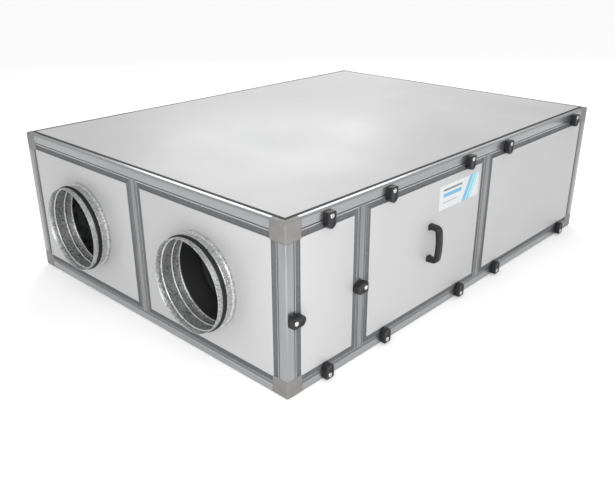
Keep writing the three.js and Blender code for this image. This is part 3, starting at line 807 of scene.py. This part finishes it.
def makeClamps():
    half, deep = clamp["half"] * mm, clamp["deep"] * mm
    noseEnd, heelEnd = clamp["nose"] * mm, -clamp["heel"] * mm
    outwards = Matrix.Rotation(math.radians(90), 4, "X")
    blank = startBox("clampBlank", (-half, -deep, heelEnd), (half, 0, noseEnd))
    roundEdges(blank, lambda c, d: abs(d.y) > 0.9 and near(c.z, noseEnd), clamp["noseRound"] * mm, 10)
    roundEdges(blank, lambda c, d: abs(d.y) > 0.9 and near(c.z, heelEnd), clamp["heelRound"] * mm, 4)
    pickFaces(blank, lambda c, n: n.y < -0.9)
    bpy.ops.mesh.bevel(offset=clamp["faceSoft"] * mm, segments=3, affect="EDGES")
    objectMode()
    hollows = ((clamp["recess"], clamp["recessDeep"], 0), (clamp["dish"], clamp["dishDeep"], clamp["dishAt"]))
    for radius, hollow, height in hollows:
        cutter = startDisc("clampCutter", radius * mm, -hollow * mm, 0.01, 40)
        placePiece(cutter, Matrix.Translation((0, -deep, height * mm)) @ outwards)
        cutAway(blank, cutter)
    softenEdges(blank, 0.35 * mm, 2, 50)
    smoothFaces(blank, 32)
    head = makeScrew("clampScrewBlank", **screw)
    placePiece(head, Matrix.Translation((0, -deep + clamp["recessDeep"] * mm, 0)) @ outwards)
    noses = {"top": math.pi, "bottom": 0.0, "left": math.pi / 2, "right": -math.pi / 2}
    for node in sorted(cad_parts):
        if not node.startswith("clamp_"):
            continue
        spin = noses[node.split("_")[-1]]
        low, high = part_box(node)
        middle = (low + high) / 2
        nose = Vector((math.sin(spin), 0, math.cos(spin)))
        pivot = middle - nose * (clamp["nose"] - clamp["heel"]) / 2 * mm
        place = Matrix.Translation((pivot.x, high.y, pivot.z)) @ Matrix.Rotation(spin, 4, "Y")
        block = copyPiece(blank, camel(node) + "Block", place)
        fitPiece(block, node + "_body", clampFinish, "clamp_plastic", node)
        bolt = copyPiece(head, camel(node) + "Screw", place)
        fitPiece(bolt, node + "_body", screwFinish, "screw_steel")
    dropPiece(blank)
    dropPiece(head)


handle = {"bend": 20.0, "bar": 15.0, "width": 21.0, "foot": 18.0, "footHigh": 5.0, "steps": 8, "corner": 5.0,
          "bulge": 2.6, "spans": 6, "lip": 1.0, "lipDraw": 0.97, "back": 0.2}


def makeHandle():
    low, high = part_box("panel_handle")
    middle = (low + high) / 2
    foot, bar, bend, bulge = (handle[key] * mm for key in ("foot", "bar", "bend", "bulge"))
    base, top = high.y, low.y + bulge
    dropAll()
    bpy.ops.mesh.primitive_plane_add(size=1, location=(middle.x, base, low.z + foot / 2),
                                     rotation=(math.radians(90), 0, 0))
    bpy.context.object.scale = (handle["width"] * mm, foot, 1)
    bow = settle("panelHandleBow")
    pickWhole(bow)
    bpy.ops.mesh.bevel(offset=handle["corner"] * mm, segments=4, affect="VERTICES")

    def reach(move, sizeX=1.0, sizeZ=1.0, atZ=0.0):
        bpy.ops.mesh.extrude_region_move(TRANSFORM_OT_translate={"value": move})
        bpy.ops.transform.resize(value=(sizeX, 1, sizeZ), center_override=(middle.x, 0, atZ))

    def sweep(y, z):
        bpy.ops.mesh.spin(steps=handle["steps"], angle=math.radians(90), center=(middle.x, y, z),
                          axis=(1, 0, 0))

    pad, lip, draw, thin = handle["footHigh"] * mm, handle["lip"] * mm, handle["lipDraw"], bar / foot
    rise = base - pad - lip - (top + bend)
    reach((0, -(pad - lip), 0))
    reach((0, -lip, 0), draw, draw, low.z + foot / 2)
    reach((0, -lip, 0), draw, thin / draw, low.z + handle["back"] * mm)
    reach((0, -rise, 0))
    sweep(top + bend, low.z + bend)
    span = ((high.z - low.z) - 2 * bend) / handle["spans"]
    swell = [math.sin(math.pi * n / handle["spans"]) * bulge for n in range(handle["spans"] + 1)]
    for before, after in zip(swell, swell[1:]):
        reach((0, before - after, span))
    sweep(top + bend, high.z - bend)
    reach((0, rise, 0))
    reach((0, lip, 0), 1 / draw, draw / thin, high.z - handle["back"] * mm)
    reach((0, lip, 0), 1 / draw, 1 / draw, high.z - foot / 2)
    reach((0, pad - lip, 0))
    bpy.ops.mesh.select_all(action="SELECT")
    bpy.ops.mesh.normals_make_consistent(inside=False)
    objectMode()
    smoothFaces(bow, 42)
    fitPiece(bow, "cover_2", clampFinish, "clamp_plastic", "panel_handle")


# slanted bands: from, to, colour; bars: low, high, right end, colour; places in m from the film's middle
nameplate = {"x": -66.0, "z": 346.0, "wide": 203.0, "high": 70.0, "thick": 0.16, "corner": 4.0,
             "film": (0.60, 0.615, 0.63), "fibre": (0.62, 0.63, 0.64), "lean": -0.55, "barsFrom": -0.082,
             "bands": ((0.034, 0.052, (0.10, 0.36, 0.62)), (0.056, 0.068, (0.08, 0.52, 0.62)),
                       (0.072, 0.079, (0.22, 0.62, 0.68))),
             "bars": ((0.018, 0.024, 0.012, (0.12, 0.13, 0.15)), (0.000, 0.011, 0.010, (0.08, 0.34, 0.55)),
                      (-0.017, -0.013, -0.010, (0.35, 0.37, 0.40)))}


def between(tree, value, start, end):
    return sums(tree, "MULTIPLY", sums(tree, "GREATER_THAN", value, start),
                sums(tree, "LESS_THAN", value, end))


def nameplateFilm():
    # white film with plain coloured bands and no lettering
    material, tree, shader = startMaterial("nameplateFilm", Coat_Weight=0.35, Coat_Roughness=0.12)
    place = addNode(tree, "TexCoord").outputs["Object"]
    shift = (-nameplate["x"] * mm, 0, -nameplate["z"] * mm)
    moved = addNode(tree, "Mapping", {"Vector": place, "Location": shift})
    apart = addNode(tree, "SeparateXYZ", {0: moved.outputs[0]}).outputs
    slant = sums(tree, "ADD", apart["X"], sums(tree, "MULTIPLY", apart["Z"], nameplate["lean"]))
    colour = nameplate["film"]
    for start, end, tone in nameplate["bands"]:
        colour = blendColour(tree, between(tree, slant, start, end), colour, tone)
    for start, end, reach, tone in nameplate["bars"]:
        inBar = sums(tree, "MULTIPLY", between(tree, apart["Z"], start, end),
                     between(tree, apart["X"], nameplate["barsFrom"], reach))
        colour = blendColour(tree, inBar, colour, tone)
    fibre = useGroup(tree, grainGroup, Size=420.0, Cloud=12.0)
    thread = spread(tree, fibre["Cloud"], 0.35, 0.75, 0.0, 0.12)
    tree.links.new(blendColour(tree, thread, colour, nameplate["fibre"]), shader.inputs["Base Color"])
    setRough(tree, shader, fibre["Cloud"], 0.3, 0.7, 0.26, 0.38)
    setBump(tree, shader, fibre["Height"], 0.05, 0.0003)
    return material


def makeNameplate():
    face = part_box("service_panel_2")[0].y
    wide, high = nameplate["wide"] / 2 * mm, nameplate["high"] / 2 * mm
    x, z = nameplate["x"] * mm, nameplate["z"] * mm
    plate = startBox("nameplateFilm", (x - wide, face - nameplate["thick"] * mm, z - high),
                     (x + wide, face - 0.01 * mm, z + high))
    roundEdges(plate, lambda c, d: abs(d.y) > 0.9, nameplate["corner"] * mm, 6)
    softenEdges(plate, 0.05 * mm, 1, 60)
    smoothFaces(plate, 30)
    fitPiece(plate, "cover_2", nameplateFilm(), "label_film")


makeHandle()
makeNameplate()
makeClamps()
print("clamps made")

foilFinish = metalMaterial("exchangerFoil", 2, (0.66, 0.68, 0.70), (0.50, 0.52, 0.55), 0.30, 0.2, 0.2, 0.95)
stackFinish = metalMaterial("exchangerEdgeProfile", 2, (0.60, 0.61, 0.63), (0.46, 0.47, 0.49),
                            0.34, 0.1, 0.3)
capFinish = zincMaterial("exchangerCap", (0.60, 0.61, 0.62), (0.38, 0.40, 0.42), 90.0, 0.38)
boxFinish = paintMaterial("boxPaint", (0.50, 0.51, 0.51), (0.46, 0.47, 0.475),
                          0.5, 520.0, 0.22, 0.1, 0.3, (0.62, 0.62, 0.61))
bladeFinish = paintMaterial("damperPaint", (0.020, 0.021, 0.023), (0.030, 0.031, 0.034),
                            0.5, 1000.0, 0.12, 0.02, 0.4, (0.16, 0.165, 0.17))
filterCardFinish = mouldedMaterial("filterFrameBoard", (0.62, 0.60, 0.55), (0.54, 0.52, 0.47),
                                   0.75, 520.0, 0.35, 0.2, (0.75, 0.73, 0.68))
filterCloth = mouldedMaterial("filterCloth", (0.74, 0.76, 0.78), (0.58, 0.61, 0.64),
                              0.92, 380.0, 0.7, 0.0)
tagFinish = mouldedMaterial("pullTape", (0.03, 0.10, 0.20), (0.04, 0.13, 0.25), 0.8, 900.0, 0.5, 0.0)
impellerFinish = mouldedMaterial("impellerMoulding", (0.035, 0.042, 0.055), (0.05, 0.058, 0.072),
                                 0.45, 1100.0, 0.2, 0.4, (0.12, 0.13, 0.15))

damper = {"bladeEdge": 116.4, "half": 1.4, "bead": 1.0, "rings": ((52, 56, 60, 64), (98, 101, 104, 107)),
          "rubberHalf": 1.7, "rubberOut": 120.7, "shaft": 4.0, "shaftBack": 2.6,
          "saddleAt": 70.0, "saddleHalf": 8.0, "saddleWide": 14.0, "saddleNear": 1.5, "saddleFar": 7.2,
          "motorHigh": 50.0, "motorLong": 74.0, "motorWide": 56.0, "motorGap": 2.0,
          "seamAt": 22.0, "seamHigh": 1.2, "seamDeep": 0.9}


def makeDamper():
    low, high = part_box("damper_blade")
    centre = (low + high) / 2
    half, bead, edge = damper["half"], damper["bead"], damper["bladeEdge"]
    front = [(0.01, half)]
    for a, b, c, d in damper["rings"]:
        front += [(a, half), (b, half + bead), (c, half + bead), (d, half)]
    front.append((edge, half))
    rear = [(edge, -half)]
    for a, b, c, d in reversed(damper["rings"]):
        rear += [(d, -half), (c, bead - half), (b, bead - half), (a, -half)]
    rear.append((0.01, -half))
    blade = turnPiece("damperDisc", front + rear, 80, closed=False)
    out, thick = damper["rubberOut"], damper["rubberHalf"]
    side = [(edge - 1.4, -thick), (edge + 1.8, -thick), (out - 0.5, -0.7)]
    rubber = turnPiece("damperLip", side + [(out, 0.0)] + [(r, -h) for r, h in reversed(side)], 80)
    shaft = startDisc("damperShaft", damper["shaft"] * mm, low.z - centre.z, high.z - centre.z, 24)
    placePiece(shaft, Matrix.Translation(centre + Vector((-damper["shaftBack"] * mm, 0, 0))))
    softenEdges(shaft, 0.5 * mm, 2, 50)
    for piece in (blade, rubber):
        placePiece(piece, facing((0, 1, 0), (0, 0, 1), (1, 0, 0), centre))
    steelParts = [shaft]
    for number, sign in enumerate((-1, 1)):
        z = centre.z + sign * damper["saddleAt"] * mm
        reach, wide, far = (damper[key] * mm for key in ("saddleHalf", "saddleWide", "saddleFar"))
        saddle = startBox("damperSaddle%d" % number, (centre.x - far, centre.y - wide, z - reach),
                          (centre.x - damper["saddleNear"] * mm, centre.y + wide, z + reach))
        roundEdges(saddle, lambda c, d: abs(d.z) > 0.9 and c.x < centre.x - 6 * mm, 4.0 * mm, 4)
        softenEdges(saddle, 0.4 * mm, 2, 50)
        steelParts.append(saddle)
    for piece in [blade, rubber] + steelParts:
        smoothFaces(piece, 34)
    fitPiece(blade, "damper", bladeFinish, "damper_paint", "damper_blade")
    fitPiece(rubber, "damper", sealRubber, "seal_rubber")
    for piece in steelParts:
        fitPiece(piece, "damper", screwFinish, "screw_steel")
    makeDamperMotor(centre, high.z)


def makeDamperMotor(centre, roof):
    wide, long = damper["motorWide"] * mm, damper["motorLong"] * mm
    foot = roof + damper["motorGap"] * mm
    motor = startBox("damperMotor", (centre.x - wide / 2, centre.y - 0.4 * long, foot),
                     (centre.x + wide / 2, centre.y + 0.6 * long, foot + damper["motorHigh"] * mm))
    pressFaces(motor, lambda c, n: n.z < -0.9, (3, 0), (1, -2))
    seam, gap = roof + damper["seamAt"] * mm, damper["seamHigh"] * mm
    slicePiece(motor, 2, [seam, seam + gap])
    pickFaces(motor, lambda c, n: abs(n.z) < 0.1 and near(c.z, seam + gap / 2))
    bpy.ops.mesh.extrude_region_shrink_fatten(TRANSFORM_OT_shrink_fatten={"value": -damper["seamDeep"] * mm})
    objectMode()
    softenEdges(motor, 1.0 * mm, 2, 50)
    smoothFaces(motor, 32)
    fitPiece(motor, "casing", clampFinish, "clamp_plastic")


exchanger = {"side": 470.0, "cap": 7.0, "post": 22.0, "postThick": 1.8, "pitch": 8.4, "layer": 0.42,
             "layerIn": 1.0, "layerShort": 5.0, "coreIn": 12.0, "capRim": 14.0}


def makeExchanger():
    # plates stacked crosswise, every second layer turned, between two caps and four corner angles
    low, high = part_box("heat_exchanger")
    middle = (low + high) / 2
    half, cap, pitch = exchanger["side"] / 2 * mm, exchanger["cap"] * mm, exchanger["pitch"] * mm
    floorAt, roofAt = low.z - middle.z, high.z - middle.z
    count = int((roofAt - floorAt - 2 * cap) / pitch)
    near0, short = exchanger["layerIn"] * mm, exchanger["layerShort"] * mm
    pieces = []
    layers = (("exchangerLayersWarm", near0, short, 0.0), ("exchangerLayersCool", short, near0, 0.5))
    for label, insetX, insetY, start in layers:
        layerAt = floorAt + cap + start * pitch
        layer = startBox(label, (-half + insetX, -half + insetY, layerAt),
                         (half - insetX, half - insetY, layerAt + exchanger["layer"] * pitch))
        softenEdges(layer, 0.5 * mm, 1, 50)
        useModifier(layer, "ARRAY", count=count, use_relative_offset=False, use_constant_offset=True,
                    constant_offset_displace=(0, 0, pitch))
        pieces.append((layer, foilFinish))
    inner = half - exchanger["coreIn"] * mm
    core = startBox("exchangerCore", (-inner, -inner, floorAt + cap), (inner, inner, roofAt - cap))
    pickFaces(core, lambda c, n: abs(n.z) < 0.1)
    bpy.ops.mesh.inset(thickness=2 * mm, depth=-1 * mm, use_individual=True)
    objectMode()
    pieces.append((core, gasketFoam))
    caps = (("exchangerCapLow", floorAt, floorAt + cap), ("exchangerCapHigh", roofAt - cap, roofAt))
    for label, bottom, top in caps:
        plate = startBox(label, (-half, -half, bottom), (half, half, top))
        pressFaces(plate, lambda c, n: abs(n.z) > 0.9, (exchanger["capRim"], 0), (2, -1.2))
        softenEdges(plate, 0.6 * mm, 2, 50)
        pieces.append((plate, capFinish))
    thick, post = exchanger["postThick"] * mm, exchanger["post"] * mm
    angle = startBox("exchangerPostBlank", (-half, -half, floorAt + cap),
                     (-half + thick, -half + thick, roofAt - cap))
    pull(angle, lambda c, n: n.x > 0.9, (post - thick, 0, 0))
    pull(angle, lambda c, n: n.y > 0.9 and c.x < -half + thick, (0, post - thick, 0))
    softenEdges(angle, 0.3 * mm, 1, 50)
    for number in range(4):
        turn = Matrix.Rotation(math.radians(90 * number), 4, "Z")
        pieces.append((copyPiece(angle, "exchangerPost%d" % (number + 1), turn), stackFinish))
    dropPiece(angle)
    for number, (piece, finish) in enumerate(pieces):
        placePiece(piece, Matrix.Translation(middle) @ Matrix.Rotation(math.radians(45), 4, "Z"))
        smoothFaces(piece, 30)
        fitPiece(piece, "casing", finish, "exchanger_foil", *(["heat_exchanger"] if number == 0 else []))


filterShape = {"frame": 15.0, "pleats": 26, "pleatDeep": 36.0, "cloth": 0.8, "clothSoft": 0.9,
               "tab": 34.0, "tabWide": 9.0, "tabNear": 0.2, "tabFar": 1.6,
               "tabCuts": (-24, -12, 0, 12, 24), "tabBow": ((-12, 5.0), (0, 6.5), (12, 5.0))}


def makeFilters():
    for node, body in (("outdoor_air_filter", "outdoor_filter"), ("extract_air_filter", "extract_filter")):
        low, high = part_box(node)
        name = camel(node)
        frameBox = startBox(name + "Frame", low, high)
        openFrame(frameBox, 0, filterShape["frame"])
        softenEdges(frameBox, 0.8 * mm, 2, 50)
        inner = filterShape["frame"] * mm
        run = (high.y - low.y) - 2 * inner
        step = run / filterShape["pleats"]
        middle = (low + high) / 2
        deep = filterShape["pleatDeep"] / 2 * mm
        dropAll()
        bpy.ops.mesh.primitive_plane_add(size=1, location=(0, 0, 0), rotation=(0, math.radians(90), 0))
        bpy.context.object.scale = (high.z - low.z - 2 * inner, step / 2, 1)
        cloth = settle(name + "Pleats")
        placePiece(cloth, Matrix.Translation((middle.x, low.y + inner + step / 4, middle.z)))
        edgeAt = low.y + inner + step / 2
        pickEdges(cloth, lambda c, d: near(c.y, edgeAt))
        bpy.ops.mesh.extrude_region_move(TRANSFORM_OT_translate={"value": (0, step / 2, 0)})
        objectMode()
        pickEdges(cloth, lambda c, d: near(c.y, edgeAt) and abs(d.z) > 0.9)
        bpy.ops.transform.translate(value=(deep, 0, 0))
        objectMode()
        pickEdges(cloth, lambda c, d: abs(d.z) > 0.9 and not near(c.y, edgeAt))
        bpy.ops.transform.translate(value=(-deep, 0, 0))
        objectMode()
        useModifier(cloth, "ARRAY", count=filterShape["pleats"], use_relative_offset=False,
                    use_constant_offset=True, constant_offset_displace=(0, step, 0), use_merge_vertices=True,
                    merge_threshold=0.0001)
        useModifier(cloth, "SOLIDIFY", thickness=filterShape["cloth"] * mm, offset=0.0)
        softenEdges(cloth, filterShape["clothSoft"] * mm, 2, 50)
        smoothFaces(cloth, 40)
        long, wide = filterShape["tab"] * mm, filterShape["tabWide"] * mm
        tab = startBox(name + "PullTape",
                       (middle.x - wide, low.y - filterShape["tabFar"] * mm, middle.z - long),
                       (middle.x + wide, low.y - filterShape["tabNear"] * mm, middle.z + long))
        slicePiece(tab, 2, [middle.z + place * mm for place in filterShape["tabCuts"]])
        for z, out in filterShape["tabBow"]:
            pickEdges(tab, lambda c, d: abs(c.z - middle.z - z * mm) < 0.0005)
            bpy.ops.transform.translate(value=(0, -out * mm, 0))
            objectMode()
        softenEdges(tab, 0.4 * mm, 2, 50)
        smoothFaces(tab, 45)
        smoothFaces(frameBox, 30)
        fitPiece(frameBox, body, filterCardFinish, "filter_media", node)
        fitPiece(cloth, body, filterCloth, "filter_media")
        fitPiece(tab, body, tagFinish, "filter_media")
        makeGuides(name, low, high)


guide = {"side": 4.0, "sheet": 1.5, "gap": 0.8, "clear": 0.2, "short": 2.0, "lip": 9.0}


def makeGuides(name, low, high):
    # channels above and below that each filter slides in
    side, gauge, gap, clear, short, lip = (value * mm for value in guide.values())
    floorAt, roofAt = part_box("bottom_panel")[1].z + clear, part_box("top_panel")[0].z - clear
    runs = (("GuideLow", floorAt, low.z - gap, 1), ("GuideHigh", high.z + gap, roofAt, -1))
    edges = (low.x - side + gauge, high.x + side - gauge)
    for label, bottom, top, up in runs:
        channel = startBox(name + label, (low.x - side, low.y + short, bottom),
                           (high.x + side, high.y - short, top))
        slicePiece(channel, 0, edges)
        pull(channel, lambda c, n: n.z * up > 0.9 and not edges[0] < c.x < edges[1], (0, 0, lip * up))
        softenEdges(channel, 0.3 * mm, 1, 50)
        fitPiece(channel, "casing", capFinish, "galvanised_steel")


impeller = {"blades": 7, "bladeThick": 2.4, "inner": 60.0, "arc": 95.0, "sweep": 39.0, "steps": 9,
            "bladeLow": 43.0, "bladeHigh": 107.0,
            "front": 24.0, "bladeRoot": 3.0,
            "back": [(0.01, 62), (34, 62.4), (40, 64), (44.6, 68), (46, 74), (46.4, 103), (49, 106),
                     (124.2, 106), (125, 107.5), (124.2, 109), (58, 109), (55, 113), (0.01, 113)],
            "shroud": [(84.5, 24.2), (86.5, 24.2), (87.4, 31), (92, 37), (102, 41.4), (125, 45),
                       (125, 46.8), (101, 43.4), (90.4, 38.8), (85.2, 32)]}


def makeImpellers():
    for node, body in (("supply_fan_impeller", "supply_fan"), ("exhaust_fan_impeller", "exhaust_fan")):
        low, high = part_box(node)
        centre = (low + high) / 2
        sign = 1 if centre.x > 0 else -1
        plateAt = (low.x if sign > 0 else high.x) - sign * impeller["front"] * mm
        back = turnPiece("impellerBack", impeller["back"], 72, closed=False)
        shroud = turnPiece("impellerShroud", impeller["shroud"], 72)
        thick, inner = impeller["bladeThick"] / 2 * mm, impeller["inner"] * mm
        root = inner - impeller["bladeRoot"] * mm
        blade = startBox("impellerBlade", (root, -thick, impeller["bladeLow"] * mm),
                         (inner, thick, impeller["bladeHigh"] * mm))
        pickFaces(blade, lambda c, n: n.x > 0.9)
        bpy.ops.mesh.spin(steps=impeller["steps"], angle=math.radians(impeller["sweep"]),
                          center=(inner, impeller["arc"] * mm, 0), axis=(0, 0, 1))
        bpy.ops.mesh.select_all(action="SELECT")
        bpy.ops.mesh.normals_make_consistent(inside=False)
        objectMode()
        softenEdges(blade, 0.7 * mm, 2, 50)
        blades = [copyPiece(blade, "impellerBladeCopy%d" % n,
                            Matrix.Rotation(2 * math.pi * n / impeller["blades"], 4, "Z"))
                  for n in range(impeller["blades"])]
        dropPiece(blade)
        wheel = joinPieces([back, shroud] + blades)
        wheel.name = camel(node) + "Wheel"
        placePiece(wheel, facing((0, 1, 0), (0, 0, sign), (sign, 0, 0), (plateAt, centre.y, centre.z)))
        smoothFaces(wheel, 36)
        fitPiece(wheel, body, impellerFinish, "impeller_plastic", node)


# window: in from the sides, down from the top (low and high edge), depth from the cover's face (near, far)
controlShape = {"lidDeep": 16.0, "seam": 1.2, "corner": 5.0, "soft": 0.9, "rim": 1.4,
                "windowSide": 30.0, "windowTop": (110.0, 60.0), "windowDeep": (0.3, 1.3),
                "screwIn": 16.0, "screwDeep": 1.3, "glands": 5, "glandSoft": 0.4,
                "gland": [(6.0, 0), (9.5, 0), (9.5, 4), (8.6, 5), (8.6, 11), (7.6, 14), (5.2, 16),
                          (4.2, 16), (4.2, 2), (5.0, 0)]}
boxScrew = {"radius": 4.2, "dome": 2.0, "socket": 1.7, "socketDeep": 1.1, "sides": 24}


def makeControlBox():
    low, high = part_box("control_box")
    seamAt = low.y + controlShape["lidDeep"] * mm
    base = startBox("controlBoxBase", (low.x, seamAt + controlShape["seam"] * mm, low.z), high)
    cover = startBox("controlBoxCover", low, (high.x, seamAt, high.z))
    outFace = lambda c, n: n.y < -0.9
    pressFaces(cover, outFace, (8, 0), (1.6, -controlShape["rim"]))
    atCorner = lambda c, d: abs(d.y) > 0.9 and (near(c.x, low.x) or near(c.x, high.x))
    for piece in (base, cover):
        roundEdges(piece, atCorner, controlShape["corner"] * mm, 5)
    softenEdges(cover, controlShape["soft"] * mm, 2, 40)
    softenEdges(base, controlShape["soft"] * mm, 2, 40)
    inset = controlShape["windowSide"] * mm
    bottom, top = (high.z - down * mm for down in controlShape["windowTop"])
    front, rear = (low.y + deep * mm for deep in controlShape["windowDeep"])
    window = startBox("controlBoxWindow", (low.x + inset, front, bottom), (high.x - inset, rear, top))
    pressFaces(window, outFace, (5, 0), (0.6, -0.5))
    for piece in (base, cover, window):
        smoothFaces(piece, 32)
    fitPiece(cover, "casing", boxFinish, "box_paint", "control_box")
    fitPiece(base, "casing", boxFinish, "box_paint")
    fitPiece(window, "casing", clampFinish, "clamp_plastic")
    head = makeScrew("boxScrewBlank", **boxScrew)
    edge, screwAt = controlShape["screwIn"] * mm, low.y + controlShape["screwDeep"] * mm
    spots = [(x, z) for x in (low.x + edge, high.x - edge) for z in (low.z + edge, high.z - edge)]
    for number, (x, z) in enumerate(spots):
        bolt = copyPiece(head, "controlBoxScrew%d" % (number + 1),
                         facing((1, 0, 0), (0, 0, 1), (0, -1, 0), (x, screwAt, z)))
        fitPiece(bolt, "casing", screwFinish, "screw_steel")
    dropPiece(head)
    gland = turnPiece("glandBlank", controlShape["gland"], 6)
    softenEdges(gland, controlShape["glandSoft"] * mm, 2, 30)
    for number in range(controlShape["glands"]):
        x = low.x + (high.x - low.x) * (number + 1) / (controlShape["glands"] + 1)
        y = (low.y + high.y) / 2
        twin = copyPiece(gland, "controlBoxGland%d" % (number + 1),
                         facing((1, 0, 0), (0, -1, 0), (0, 0, -1), (x, y, low.z)))
        smoothFaces(twin, 32)
        fitPiece(twin, "casing", clampFinish, "clamp_plastic")
    dropPiece(gland)


baffle = {"gauge": 1.4, "flange": 16.0, "clear": 1.5}


def makeBaffles():
    # sheets that part the four air chambers, from the exchanger's corners to the walls
    exLow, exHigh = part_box("heat_exchanger")
    floorAt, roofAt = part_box("bottom_panel")[1].z + 0.0004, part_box("top_panel")[0].z - 0.0004
    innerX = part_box("end_panel_right")[0].x - baffle["clear"] * mm
    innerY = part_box("back_panel")[0].y - baffle["clear"] * mm
    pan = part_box("drain_pan")[1]
    half, flange = baffle["gauge"] / 2 * mm, baffle["flange"] * mm
    spans = [("baffleLeft", 0, -1, exLow.x, innerX), ("baffleRight", 0, 1, exHigh.x, innerX),
             ("baffleFront", 1, -1, exLow.y, innerY), ("baffleBack", 1, 1, exHigh.y, innerY)]
    for name, axis, sign, start, reach in spans:
        across = 1 - axis
        panEdge = (pan.x if axis == 0 else pan.y) + 1.5 * mm
        low, high = Vector((0, 0, floorAt)), Vector((0, 0, roofAt))
        low[across], high[across] = -half, half
        ends = sorted((sign * panEdge, sign * reach))
        low[axis], high[axis] = ends
        sheetPiece = startBox(name, low, high)
        slicePiece(sheetPiece, 2, [pan.z + 1.5 * mm])
        inwards = [-sign * (panEdge - abs(start) - 0.4 * mm) if i == axis else 0 for i in range(3)]
        pull(sheetPiece, lambda c, n: n[axis] * sign < -0.9 and c.z > pan.z, inwards)
        slicePiece(sheetPiece, axis, [sign * (reach - baffle["gauge"] * mm)])
        fold = [flange if i == across else 0 for i in range(3)]
        pull(sheetPiece, lambda c, n: n[across] > 0.9 and abs(c[axis]) > reach - baffle["gauge"] * mm, fold)
        softenEdges(sheetPiece, 0.25 * mm, 1, 50)
        smoothFaces(sheetPiece, 30)
        fitPiece(sheetPiece, "casing", zincInner, "galvanised_steel")


heaterBox = {"side": 3.0, "deep": 16.0, "gap": 0.4, "high": 110.0, "corner": 3.0}


def makeHeaterBox():
    low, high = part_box("electric_heater")
    middle = (low + high) / 2
    side, half = heaterBox["side"] * mm, heaterBox["high"] / 2 * mm
    box = startBox("heaterTerminalBox", (low.x + side, low.y - heaterBox["deep"] * mm, middle.z - half),
                   (high.x - side, low.y - heaterBox["gap"] * mm, middle.z + half))
    roundEdges(box, lambda c, d: abs(d.y) > 0.9, heaterBox["corner"] * mm, 4)
    pressFaces(box, lambda c, n: n.y < -0.9, (4, 0), (1, -1))
    softenEdges(box, 0.6 * mm, 2, 50)
    smoothFaces(box, 30)
    fitPiece(box, "casing", boxFinish, "box_paint")


def finishCadNodes():
    # CAD shapes that are right as they are get their finish here
    finishes = {"drain_pan": zincBright, "bottom_panel": zincInner, "supply_fan_frame": zincInner,
                "exhaust_fan_frame": zincInner, "electric_heater": capFinish}
    for node, finish in finishes.items():
        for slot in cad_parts[node].material_slots:
            slot.material = finish


makeDamper()
makeExchanger()
makeFilters()
makeImpellers()
makeControlBox()
makeBaffles()
makeHeaterBox()
finishCadNodes()
print("inner parts made")


view = {"place": (-1.7349, -1.5417, 0.9984), "azimuth": -46.90, "elevation": 23.87, "roll": -0.09,
        "lens": 41.22, "sensor": 36.0, "clip": (0.05, 300.0)}


def makeCamera():
    dropAll()
    bpy.ops.object.camera_add(location=view["place"])
    camera = bpy.context.object
    camera.data.lens = view["lens"]
    camera.data.sensor_width = view["sensor"]
    camera.data.clip_start, camera.data.clip_end = view["clip"]
    a, e = math.radians(view["azimuth"]), math.radians(view["elevation"])
    back = Vector((math.sin(a) * math.cos(e), -math.cos(a) * math.cos(e), math.sin(e)))
    roll = Matrix.Rotation(math.radians(view["roll"]), 3, "Z").to_quaternion()
    camera.rotation_mode = "QUATERNION"
    camera.rotation_quaternion = (-back).to_track_quat("-Z", "Y") @ roll
    scene.camera = camera


studio = {"sky": (1.0, 1.0, 1.0), "skyPower": 0.78, "backdrop": 0.97, "floor": 160.0, "floorAt": -0.0005,
          "floorTone": 0.94, "floorRough": 0.7, "floorGlow": 0.22}
lamps = [("keyLamp", (-1.9, -2.0, 1.2), (0.0, 0.0, 0.2), (1.2, 1.2), 33.0, (1.0, 0.995, 0.985)),
         ("edgeLamp", (3.2, -1.6, 2.2), (3.2, -0.57, 0.45), (4.4, 0.35), 4.0, (1.0, 1.0, 1.0)),
         ("farLamp", (3.1, 1.3, 1.45), (0.2, 0.0, 0.4), (1.8, 1.3), 4.0, (1.0, 1.0, 1.0)),
         ("backLamp", (1.5, 1.9, 2.2), (0.0, 0.0, 0.2), (2.0, 2.0), 36.0, (0.99, 0.995, 1.0))]


def makeStudio():
    for name, place, target, size, power, colour in lamps:
        dropAll()
        bpy.ops.object.light_add(type="AREA", location=place)
        lamp = bpy.context.object
        lamp.name = name
        lamp.data.shape = "RECTANGLE"
        lamp.data.size, lamp.data.size_y = size
        lamp.data.energy = power
        lamp.data.color = colour
        lamp.rotation_euler = (Vector(target) - Vector(place)).to_track_quat("-Z", "Y").to_euler()
    world = bpy.data.worlds.new("studioSky")
    scene.world = world
    world.use_nodes = True
    tree = world.node_tree
    backdrop = tree.nodes["Background"]
    backdrop.inputs["Color"].default_value = (*studio["sky"], 1)
    # the backdrop is seen whiter than it shines
    seen = addNode(tree, "LightPath").outputs["Is Camera Ray"]
    strength = spread(tree, seen, 0.0, 1.0, studio["skyPower"], studio["backdrop"])
    tree.links.new(strength, backdrop.inputs["Strength"])
    dropAll()
    bpy.ops.mesh.primitive_grid_add(x_subdivisions=8, y_subdivisions=8, size=studio["floor"],
                                    location=(0, 0, studio["floorAt"]))
    floor = settle("studioFloor")
    tone = studio["floorTone"]
    material, tree, shader = startMaterial("studioFloor", Roughness=studio["floorRough"],
                                           Emission_Strength=studio["floorGlow"])
    shader.inputs["Base Color"].default_value = (tone, tone, tone, 1)
    shader.inputs["Emission Color"].default_value = (1, 1, 1, 1)
    floor.data.materials.append(material)
    scene.view_settings.view_transform = "Standard"
    scene.view_settings.look = "None"


makeCamera()
makeStudio()
print("camera and studio set")
